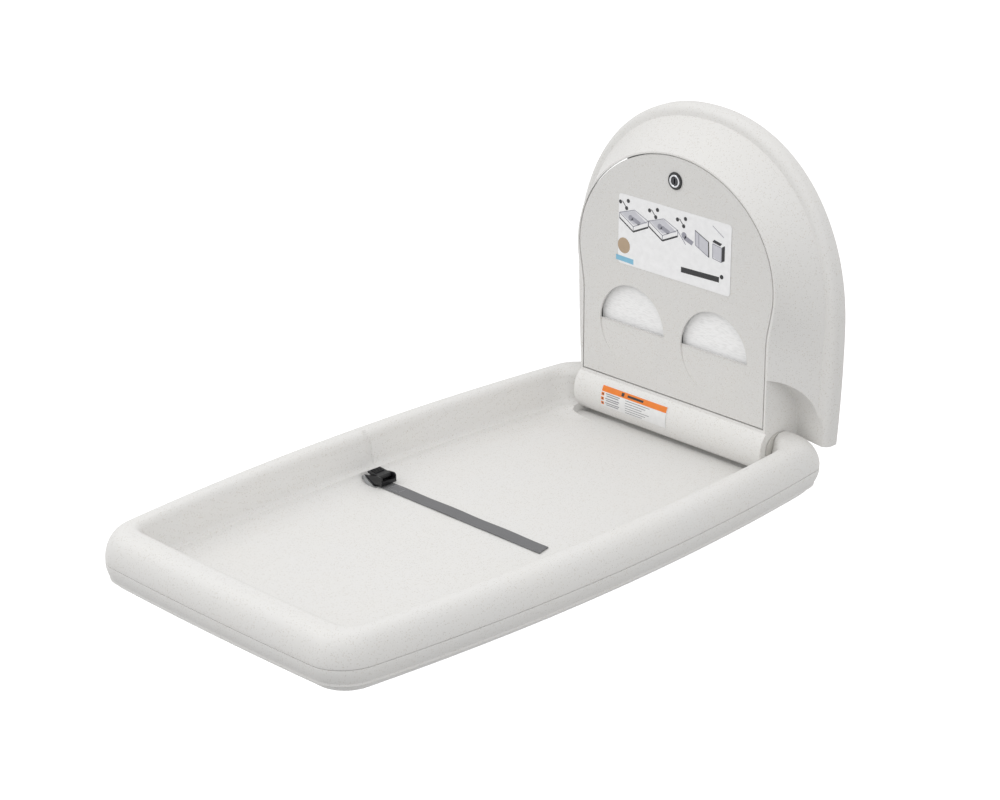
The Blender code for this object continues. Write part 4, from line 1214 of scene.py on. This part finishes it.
# ---------------------------------------------------------------- liners
@dataclass
class Liners:
    """Two stacks of folded tissue liners that stand in the bin behind the openings."""

    sheets: int = 11
    slack: float = 0.15
    setback: float = 0.003
    ruffle: float = 0.0014

    def stack(self, node: str) -> BMesh:
        """Makes one stack of folded sheets inside a CAD stack's box.

        Args:
            node: the CAD stack.

        Returns:
            The sheets.
        """
        low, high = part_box(node)
        front = low.y + self.setback
        pitch = (high.y - front) / self.sheets
        bm = bmesh.new()
        for i in range(self.sheets):
            start = front + pitch * i
            shift = self.ruffle * math.sin(2.4 * i + low.x * 40)
            drop = self.ruffle * (1 + math.cos(1.7 * i))
            thick = pitch * (1 - self.slack)
            corner = (low.x + 0.002 + shift, start, low.z)
            top = (high.x - 0.002 + shift, start + thick, high.z - drop)
            join(bm, block(corner, top, thick * 0.45, 3))
        return bm

    def build(self) -> None:
        """Builds both stacks."""
        for side in ("left", "right"):
            node = f"liner_stack_{side}"
            Piece(f"tissue_liners_{side}", TISSUE, Body.WALL, (node,)).place(self.stack(node))


# ---------------------------------------------------------------- labels
class Print:
    """Flat printed marks of one ink, stamped on a plane before they are laid on their label."""

    def __init__(self) -> None:
        """Starts with no marks."""
        self.bm = bmesh.new()

    def slab(self, centre: Flat, along: Flat, across: Flat, steps: int = 1) -> "Print":
        """Stamps a parallelogram.

        Args:
            centre: its centre.
            along: one side, end to end.
            across: the other side, end to end.
            steps: how many strips it is cut into, so that it can be wrapped.

        Returns:
            These marks.
        """
        matrix = Matrix.Identity(4)
        matrix.col[0] = (along[0], along[1], 0.0, 0.0)
        matrix.col[1] = (across[0], across[1], 0.0, 0.0)
        matrix.col[3] = (centre[0], centre[1], 0.0, 1.0)
        bmesh.ops.create_grid(self.bm, x_segments=1, y_segments=steps, size=0.5, matrix=matrix)
        return self

    def stroke(self, start: Flat, end: Flat, width: float) -> "Print":
        """Stamps a straight line of a given width."""
        along = Vector(end) - Vector(start)
        across = Vector((-along.y, along.x)).normalized() * width
        middle = (Vector(start) + Vector(end)) / 2
        return self.slab(tuple(middle), tuple(along), tuple(across))

    def outline(self, points: Sequence[Flat], width: float) -> "Print":
        """Stamps a closed outline of lines."""
        for a, b in zip(points, list(points[1:]) + [points[0]]):
            self.stroke(a, b, width)
        return self

    def disc(self, centre: Flat, radius: float) -> "Print":
        """Stamps a disc."""
        matrix = Matrix.Translation((centre[0], centre[1], 0.0))
        bmesh.ops.create_circle(self.bm, cap_ends=True, segments=20, radius=radius, matrix=matrix)
        return self

    def laid(self, lay: Callable[[Vector], Point], ink: float = 0.00004) -> BMesh:
        """Lays the marks on their label and gives the ink its thickness.

        Args:
            lay: turns a point on the plane into a point on the label's face.
            ink: the thickness of the ink.

        Returns:
            The marks.
        """
        bmesh.ops.recalc_face_normals(self.bm, faces=self.bm.faces)
        for face in [f for f in self.bm.faces if f.normal.z < 0]:
            face.normal_flip()
        grown = bmesh.ops.extrude_face_region(self.bm, geom=list(self.bm.faces))
        lifted = [g for g in grown["geom"] if isinstance(g, BMVert)]
        bmesh.ops.translate(self.bm, verts=lifted, vec=(0.0, 0.0, ink))
        for vert in self.bm.verts:
            vert.co = lay(vert.co)
        bmesh.ops.recalc_face_normals(self.bm, faces=self.bm.faces)
        return self.bm


@dataclass
class InstructionLabel:
    """The picture label on the cover: four small drawings, a round badge and plain bars for words."""

    round: float = 0.005
    line: float = 0.0011

    def build(self) -> None:
        """Builds the film and its inks."""
        low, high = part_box("instruction_label")
        middle = ((low.x + high.x) / 2, (low.z + high.z) / 2)
        film = block(tuple(low), tuple(high))

        def corner(edge: BMEdge) -> bool:
            return abs(edge.verts[0].co.y - edge.verts[1].co.y) > 1e-5

        soften(film, corner, self.round, 6)
        Piece("label_film", LABEL_FILM, Body.COVER, ("instruction_label",)).place(film)
        face = low.y

        def lay(point: Vector) -> Point:
            return (middle[0] + point.x, face - point.z, middle[1] + point.y)

        for name, finish, marks in self.marks():
            face -= 0.00003
            Piece(f"label_{name}", finish, Body.COVER).place(marks.laid(lay))

    def marks(self) -> list[tuple[str, Finish, Print]]:
        """Draws the marks of each ink, from the label's middle, in metres."""
        dark, grey_ink, pale, tan, blue = Print(), Print(), Print(), Print(), Print()
        for left, top in ((-0.1025, 0.0440), (-0.0480, 0.0435), (0.0035, 0.0425)):
            for across, down in ((0.0025, 0.0055), (0.0170, 0.0015), (0.0140, 0.0125)):
                dark.disc((left + across, top - down), 0.0029)
            dark.stroke((left + 0.0060, top - 0.0035), (left + 0.0120, top - 0.0100), 0.0012)
        for left in (-0.1025, -0.0480):
            corners = ((0.001, 0.0225), (0.029, 0.0320), (0.055, 0.0215), (0.027, 0.0075))
            tray = [(left + x, z) for x, z in corners]
            pale.slab((left + 0.028, 0.0205), (0.026, 0.0080), (0.024, -0.0125))
            grey_ink.outline(tray, self.line)
            low = [(x, z - 0.0075) for x, z in tray]
            dark.stroke(low[0], low[3], self.line * 1.7)
            dark.stroke(low[3], (low[2][0], low[2][1] - 0.001), self.line * 2.2)
            grey_ink.stroke(tray[0], low[0], self.line).stroke(tray[2], low[2], self.line)
            grey_ink.stroke(tray[3], low[3], self.line)
            grey_ink.disc((left + 0.022, 0.0190), 0.0042)
            grey_ink.slab((left + 0.032, 0.0165), (0.014, -0.0052), (0.004, 0.0052))
        panel = [(0.0385, 0.0290), (0.0630, 0.0180), (0.0640, -0.0035), (0.0395, 0.0080)]
        pale.slab((0.0512, 0.0128), (0.0240, -0.0110), (0.0006, -0.0205))
        grey_ink.outline(panel, self.line).stroke((0.045, 0.0245), (0.046, 0.0050), self.line)
        dark.stroke(panel[1], panel[2], self.line * 1.6).stroke(panel[0], panel[1], self.line)
        grey_ink.disc((0.0185, 0.0170), 0.0046).stroke((0.0060, 0.0215), (0.0220, 0.0045), self.line)
        grey_ink.slab((0.0270, 0.0115), (0.0150, -0.0052), (0.0035, 0.0060))
        grey_ink.stroke((0.0695, 0.0430), (0.0900, 0.0305), self.line * 0.8)
        pale.slab((0.0785, 0.0070), (0.0150, -0.0030), (0.0004, -0.0200))
        panel = [(0.0705, 0.0175), (0.0865, 0.0150), (0.0865, -0.0055), (0.0710, -0.0030)]
        grey_ink.outline(panel, self.line)
        dark.slab((0.0898, 0.0070), (0.0052, 0.0030), (0.0, -0.0215)).slab(
            (0.0785, 0.0205), (0.0140, -0.0028), (0.0030, 0.0038)
        )
        tan.disc((-0.0925, -0.0240), 0.0115)
        blue.slab((-0.0905, -0.0440), (0.0330, -0.0010), (0.0, 0.0075))
        dark.slab((0.0490, -0.0320), (0.0690, 0.0020), (0.0, 0.0078)).disc((0.0880, -0.0260), 0.0032)
        return [
            ("pale_ink", PALE_INK, pale),
            ("tan_badge", TAN_INK, tan),
            ("blue_strip", BLUE_INK, blue),
            ("grey_ink", GREY_INK, grey_ink),
            ("dark_ink", DARK_INK, dark),
        ]


@dataclass
class WarningLabel:
    """The small label that is wrapped on the hinge barrel: an orange band over rows of plain bars."""

    hinge_out: float = 0.0555
    radius: float = 0.03722
    top: float = math.radians(147.5)
    foot: float = math.radians(195.8)
    left: float = -0.1215
    right: float = 0.0025

    def wrap(self, point: Vector) -> Point:
        """Wraps a point, measured right and down from the label's top corner, on to the barrel."""
        reach = self.radius + point.z
        turn = self.top - point.y / self.radius
        return (
            self.left + point.x,
            -self.hinge_out + reach * math.cos(turn),
            reach * math.sin(turn),
        )

    def build(self) -> None:
        """Builds the film and its inks."""
        width = self.right - self.left
        height = (self.foot - self.top) * self.radius
        film = Print().slab((width / 2, -height / 2), (width, 0.0), (0.0, height), 24)
        self.radius -= 0.00040
        Piece("warning_film", WARNING_FILM, Body.WALL, ("warning_label",)).place(film.laid(self.wrap, 0.0004))
        self.radius += 0.00040
        orange, dark, bars = Print(), Print(), Print()
        band = 0.0086
        orange.slab((width / 2, -band / 2 - 0.0004), (width - 0.001, 0.0), (0.0, band), 6)
        for row in range(3):
            down = -band - 0.0042 - row * 0.0068
            orange.slab((0.0035, down), (0.0055, 0.0), (0.0, 0.0046), 2)
            dark.slab((0.0038, down), (0.0022, 0.0), (0.0, 0.0022), 1)
            for line in range(2):
                at = (0.0225, down + 0.0014 - line * 0.0029)
                bars.slab(at, (0.0270 - line * 0.004, 0.0), (0.0, 0.0013), 1)
        for row in range(6):
            length = 0.046 - 0.007 * (row % 3)
            at = (0.070 + length / 2 - 0.023, -band - 0.0030 - row * 0.0036)
            bars.slab(at, (length, 0.0), (0.0, 0.0009), 1)
        dark.slab((0.0400, -band / 2 - 0.0004), (0.0050, 0.0), (0.0, 0.0052), 3)
        dark.slab((0.0640, -band / 2 - 0.0004), (0.0300, 0.0), (0.0, 0.0032), 2)
        Piece("warning_orange_ink", ORANGE_INK, Body.WALL).place(orange.laid(self.wrap))
        self.radius += 0.00006
        Piece("warning_dark_ink", WARNING_INK, Body.WALL).place(dark.laid(self.wrap))
        grey_ink = replace_colour(WARNING_INK, "warning_grey_ink", "#8d8d92")
        Piece("warning_grey_ink", grey_ink, Body.WALL).place(bars.laid(self.wrap))


def replace_colour(finish: Finish, name: str, colour: str) -> Finish:
    """Gives the same finish another name and colour."""
    return Finish(name, finish.slot, colour, finish.roughness)


# ---------------------------------------------------------------- lock
@dataclass
class Lock:
    """The cam lock at the top of the cover: a bright ring in a black gasket, round a plug darkened with
    painted shade.
    """

    face_radius: float = 0.0125
    ring_radius: float = 0.0091
    gasket_gap: float = 0.0002
    gasket_round: float = 0.0012
    face_thick: float = 0.0025
    bore: float = 0.0064
    plug_radius: float = 0.0060
    ease: float = 0.0006
    key_half: Flat = (0.0010, 0.0040)

    def build(self) -> None:
        """Builds the lock's ring, its gasket and its plug with the keyway."""
        low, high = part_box("lock_body")
        centre = ((low.x + high.x) / 2, 0.0, (low.z + high.z) / 2)
        front, back, ease = low.y, high.y, self.ease
        face, rim = front + self.face_thick, self.ring_radius
        profile = [(self.bore, front + ease), (self.bore + ease, front), (rim - 0.0004, front)]
        profile += [(rim, front + 0.0004), (rim, back), (self.bore, back)]
        Piece("lock_bezel", CHROME, Body.COVER, ("lock_body",)).place(turned(profile, centre, "y", 64))
        rim += self.gasket_gap
        profile = [(rim, front + ease), (self.face_radius - self.gasket_round, front + 0.0004)]
        profile += [(self.face_radius, front + 0.0018), (self.face_radius, face), (rim, face)]
        Piece("lock_gasket", BLACK_ACETAL, Body.COVER).place(turned(profile, centre, "y", 64))
        low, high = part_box("lock_plug")
        rim, front, back = self.plug_radius, low.y, high.y
        profile = [(0.0, front), (rim - ease, front), (rim, front + ease), (rim, back), (0.0, back)]
        plug = turned(profile, centre, "y", 48)
        across, up = self.key_half
        foot, head = centre[2] - up, centre[2] + up
        slot = block((-across, front - 0.002, foot), (across, front + 0.009, head), 0.0005, 2)
        # The plug's chrome is darkened with painted shade, for the shade in the lock's centre.
        Piece("lock_core_plug", SHADED_CHROME, Body.LOCK, ("lock_plug",)).place(combined(plug, slot))


# ---------------------------------------------------------------- strap and buckle
@dataclass
class StrapAndBuckle:
    """The safety strap across the bed's floor and the cam buckle that holds it."""

    ribs: int = 4
    thread: float = 0.0009
    stitch: float = 0.0032

    def strap(self) -> BMesh:
        """Makes the webbing, with its selvedges, cut end and slight waves."""
        low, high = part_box("safety_strap")
        thick, cut = high.z - low.z, 0.005
        bm = bmesh.new()
        middle = Matrix.Translation(((low.x + high.x) / 2, (low.y + high.y) / 2, low.z))
        size = Matrix.Diagonal((high.x - low.x, high.y - low.y, 1.0, 1.0))
        bmesh.ops.create_grid(bm, x_segments=150, y_segments=8, size=0.5, matrix=middle @ size)
        for vert in bm.verts:
            share = (vert.co.y - low.y) / (high.y - low.y)
            along = (vert.co.x - low.x) / (high.x - low.x)
            vert.co.x -= cut * share * smooth_step((along - 0.9) / 0.1)
        grown = bmesh.ops.extrude_face_region(bm, geom=list(bm.faces))
        lifted = [g for g in grown["geom"] if isinstance(g, BMVert)]
        bmesh.ops.translate(bm, verts=lifted, vec=(0.0, 0.0, thick))
        outward(bm)

        def selvedge(edge: BMEdge) -> bool:
            return len(edge.link_faces) == 2 and edge.calc_face_angle(0.0) > 1.0

        soften(bm, selvedge, 0.0005, 2)
        for vert in bm.verts:
            along = vert.co.x - low.x
            wave = 0.00035 * (1 + math.sin(along * 62) * smooth_step(along / 0.05))
            edge = abs(vert.co.y - (low.y + high.y) / 2) / (high.y - low.y) * 2
            vert.co.z += wave * smooth_step(along / 0.03) + 0.00012 * (edge > 0.86)
        return bm

    def stitches(self) -> BMesh:
        """Makes the cross stitching that holds the strap's fold at the buckle."""
        low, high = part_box("safety_strap")
        top = high.z + 0.00062
        start, end = low.x + 0.016, low.x + 0.036
        bm = bmesh.new()
        rows = [low.y + 0.004, high.y - 0.004]
        count = int((end - start) / self.stitch)
        places = [(start + self.stitch * i, y, 0.0) for y in rows for i in range(count)]
        across = int((rows[1] - rows[0]) / self.stitch)
        for x in (start, end):
            places += [(x, rows[0] + self.stitch * (i + 0.5), QUARTER) for i in range(across)]
        for x, y, turn in places:
            stitch = block((-0.0011, -0.0003, -0.0002), (0.0011, 0.0003, 0.0003), 0.00018, 2)
            matrix = Matrix.Translation((x, y, top)) @ Matrix.Rotation(turn, 4, "Z")
            bmesh.ops.transform(stitch, matrix=matrix, verts=stitch.verts)
            join(bm, stitch)
        return bm

    def frame(self) -> BMesh:
        """Makes the buckle's frame: two cheeks, a base and a bar under the lever's nose."""
        low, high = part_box("buckle_frame")
        pin = joint_anchor("buckle_swing")
        half, wall, length = (high.y - low.y) / 2, 0.0022, high.x - pin.x
        middle = pin.y
        bm = block((pin.x + 0.004, middle - half, low.z), (high.x, middle + half, low.z + 0.0016))
        outline = arc((0.0, 0.0), (0.0034, 0.0034), QUARTER, math.radians(235), 10)
        outline += [(0.006, -0.0038), (length - 0.0002, -0.0038), (length - 0.0002, 0.0035)]
        outline += arc((length - 0.0046, 0.0040), (0.0044, 0.0044), 0.0, QUARTER, 5)
        outline += [(0.020, 0.0074), (0.012, 0.0056)]
        outline = [(pin.x + x, pin.z + z) for x, z in outline]
        for sign in (-1, 1):
            start, end = sorted((middle + sign * half, middle + sign * (half - wall)))
            bm = combined(bm, extruded(outline, start, end, "y"), "UNION")
        nose = (high.x - 0.0030, middle - half, low.z)
        bar = block(nose, (high.x - 0.0002, middle + half, low.z + 0.0052))
        bm = combined(bm, bar, "UNION")
        bore = turned([(0.0, -0.03), (0.0017, -0.03), (0.0017, 0.03), (0.0, 0.03)], pin, "y", 24)
        return combined(bm, bore)

    def lever(self) -> BMesh:
        """Makes the cam lever with its toothed nose and ribbed thumb tab."""
        low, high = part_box("buckle_lever")
        pin = joint_anchor("buckle_lever")
        half = (high.y - low.y) / 2
        outline = []
        for i in range(15):
            turn = math.radians(80 - 180 * i / 14)
            reach = 0.0034 if i % 2 else 0.0030
            outline.append((reach * math.cos(turn), reach * math.sin(turn)))
        outline += [(-0.004, -0.0012), (-0.012, 0.0004), (-0.020, 0.0018), (-0.0215, 0.0040)]
        outline += [(-0.0195, 0.0052), (-0.014, 0.0046), (-0.008, 0.0040)]
        outline = [(pin.x + x, pin.z + z) for x, z in outline]
        bm = extruded(outline, pin.y - half, pin.y + half, "y")
        for i in range(self.ribs):
            x = pin.x - 0.0085 - i * 0.0030
            top = pin.z + 0.0049 + i * 0.0002
            wide = half * 0.75
            rib = block((x - 0.0006, pin.y - wide, top - 0.002), (x + 0.0006, pin.y + wide, top + 0.0006))
            bm = combined(bm, rib, "UNION")
        return bm

    def build(self) -> None:
        """Builds the strap, its stitching and the buckle."""
        Piece("strap_webbing", WEBBING, Body.BED, ("safety_strap",), sharp=60).place(self.strap())
        thread = Finish("grey_bonded_thread", "grey_webbing", "#a9a9ab", 0.7)
        Piece("strap_stitching", thread, Body.BED).place(self.stitches())
        Piece("cam_buckle_frame", BLACK_ACETAL, Body.BUCKLE, ("buckle_frame",), 0.0004).place(self.frame())
        Piece("cam_buckle_lever", BLACK_ACETAL, Body.LEVER, ("buckle_lever",), 0.0003).place(self.lever())


def joint_anchor(name: str) -> Vector:
    """Gives the point that a joint turns about, in the part's frame."""
    return Vector(next(j["pos_m"] for j in frame["joints"] if j["name"] == name))


# ---------------------------------------------------------------- metalwork and small mouldings
@dataclass
class Hardware:
    """Sheet steel, pins, screws and small mouldings, each a copy of its CAD solid with eased edges."""

    def parts(self) -> list[tuple[str, Body, Finish, float]]:
        """Lists each CAD solid with its body, finish and the width of its eased edges."""
        both = ("left", "right")
        rows = [
            ("wall_plate", Body.WALL, ZINC, 0.0006),
            ("lock_keeper", Body.WALL, ZINC, 0.0004),
            *((f"hinge_bracket_{side}", Body.WALL, ZINC, 0.0005) for side in both),
            *((f"hinge_bush_{side}", Body.WALL, NATURAL_ACETAL, 0.0003) for side in both),
            ("liner_bin", Body.WALL, NATURAL_ACETAL, 0.0005),
            ("gas_spring_bracket", Body.WALL, ZINC, 0.0004),
            ("gas_spring_cylinder", Body.WALL, ENAMEL, 0.0008),
            ("gas_spring_rod", Body.SPRING, CHROME, 0.0003),
            ("hinge_rod", Body.BED, ZINC, 0.0008),
            ("bed_cross_bar", Body.BED, ZINC, 0.0006),
            *((f"hinge_arm_{side}", Body.BED, ZINC, 0.0006) for side in both),
            *((f"hinge_washer_{side}", Body.BED, NATURAL_ACETAL, 0.0004) for side in both),
            ("spring_crank", Body.BED, ZINC, 0.0004),
            ("buckle_anchor", Body.BED, ZINC, 0.0002),
            *((f"shell_screw_{i}", Body.BED, ZINC, 0.0002) for i in range(1, 5)),
            ("anchor_screw", Body.BED, ZINC, 0.0002),
            ("lock_nut", Body.COVER, ZINC, 0.0004),
            ("lock_cam", Body.LOCK, ZINC, 0.0003),
            ("cam_screw", Body.LOCK, ZINC, 0.0002),
            *((f"cover_pin_{side}", Body.COVER, ZINC, 0.0003) for side in both),
            ("buckle_pin", Body.BUCKLE, ZINC, 0.0002),
            ("lever_pin", Body.BUCKLE, ZINC, 0.0002),
        ]
        return rows

    def build(self) -> None:
        """Builds each copy."""
        for node, body, finish, edge in self.parts():
            bm = bmesh.new()
            bm.from_mesh(frame["nodes"][node].data)
            bmesh.ops.remove_doubles(bm, verts=bm.verts, dist=1e-6)
            bmesh.ops.dissolve_limit(bm, angle_limit=math.radians(1.5), verts=bm.verts, edges=bm.edges)
            Piece(f"{node}_finished", finish, body, (node,), edge).place(bm)


# ---------------------------------------------------------------- studio
@dataclass
class Studio:
    """Camera, pale floor and soft light."""

    eye: Point = (2.5214, -2.9269, 1.5465)
    aim: Point = (-0.0344, -0.3822, 0.1040)
    lens: float = 105.1
    floor_level: float = -0.80
    floor_half: float = 30.0

    def camera(self) -> None:
        """Makes the camera."""
        made = bpy.data.objects.new("camera", bpy.data.cameras.new("camera"))
        bpy.context.scene.collection.objects.link(made)
        made.data.lens = self.lens
        made.data.clip_end = 200
        made.location = self.eye
        look = Vector(self.aim) - Vector(self.eye)
        made.rotation_euler = look.to_track_quat("-Z", "Y").to_euler()
        bpy.context.scene.camera = made

    def floor(self) -> None:
        """Makes the pale floor far below the wall unit."""
        bm = bmesh.new()
        bmesh.ops.create_grid(bm, x_segments=1, y_segments=1, size=self.floor_half)
        mesh = bpy.data.meshes.new("studio_floor")
        bm.to_mesh(mesh)
        bm.free()
        floor = bpy.data.objects.new("studio_floor", mesh)
        floor.location.z = self.floor_level
        finish = bpy.data.materials.new("matt_white_studio_floor")
        finish.use_nodes = True
        shader = finish.node_tree.nodes["Principled BSDF"]
        shader.inputs["Base Color"].default_value = linear("#ffffff")
        shader.inputs["Roughness"].default_value = 1.0
        shader.inputs["Specular IOR Level"].default_value = 0.0
        shader.inputs["Emission Color"].default_value = linear("#ffffff")
        shader.inputs["Emission Strength"].default_value = 0.35
        mesh.materials.append(finish)
        # The floor is a bright backdrop; it doesn't throw light back on the underside.
        floor.visible_diffuse = False
        bpy.context.scene.collection.objects.link(floor)

    def light(self) -> None:
        """Makes an even sky that is darker below, and two broad lamps above."""
        world = bpy.data.worlds.new("studio")
        bpy.context.scene.world = world
        world.use_nodes = True
        tree = world.node_tree
        place = add_node(tree, "ShaderNodeTexCoord").outputs["Generated"]
        height = add_node(tree, "ShaderNodeSeparateXYZ", links={"Vector": place}).outputs["Z"]
        lifted = add_node(tree, "ShaderNodeMath", {"operation": "MULTIPLY_ADD", 1: 0.5, 2: 0.5}, {0: height})
        stops = [(0.0, grey(0.28)), (0.42, grey(0.53)), (0.56, grey(0.80)), (1.0, grey(0.88))]
        sky = ramp(tree, lifted.outputs["Value"], stops)
        tree.links.new(sky, tree.nodes["Background"].inputs["Color"])
        for name, at, size, power in (
            ("key", (-1.6, -2.6, 3.2), 2.6, 36.0),
            ("fill", (2.6, -1.4, 2.4), 2.4, 11.0),
        ):
            lamp = bpy.data.lights.new(name, "AREA")
            lamp.energy, lamp.size = power, size
            made = bpy.data.objects.new(name, lamp)
            made.location = at
            aim = Vector((0.0, -0.35, 0.1)) - Vector(at)
            made.rotation_euler = aim.to_track_quat("-Z", "Y").to_euler()
            bpy.context.scene.collection.objects.link(made)

    def build(self) -> None:
        """Builds the camera, the floor and the light."""
        self.camera()
        self.floor()
        self.light()
        bpy.context.scene.view_settings.view_transform = "Standard"


def main() -> None:
    """Builds the sub-assemblies in order, then the studio."""
    logging.basicConfig(level=logging.INFO, format="%(name)s: %(message)s")
    for assembly in (
        Bed(),
        WallUnit(),
        Liners(),
        InstructionLabel(),
        WarningLabel(),
        Lock(),
        StrapAndBuckle(),
        Hardware(),
        Studio(),
    ):
        assembly.build()
        LOG.info("%s done", type(assembly).__name__)


if __name__ == "__main__":
    main()
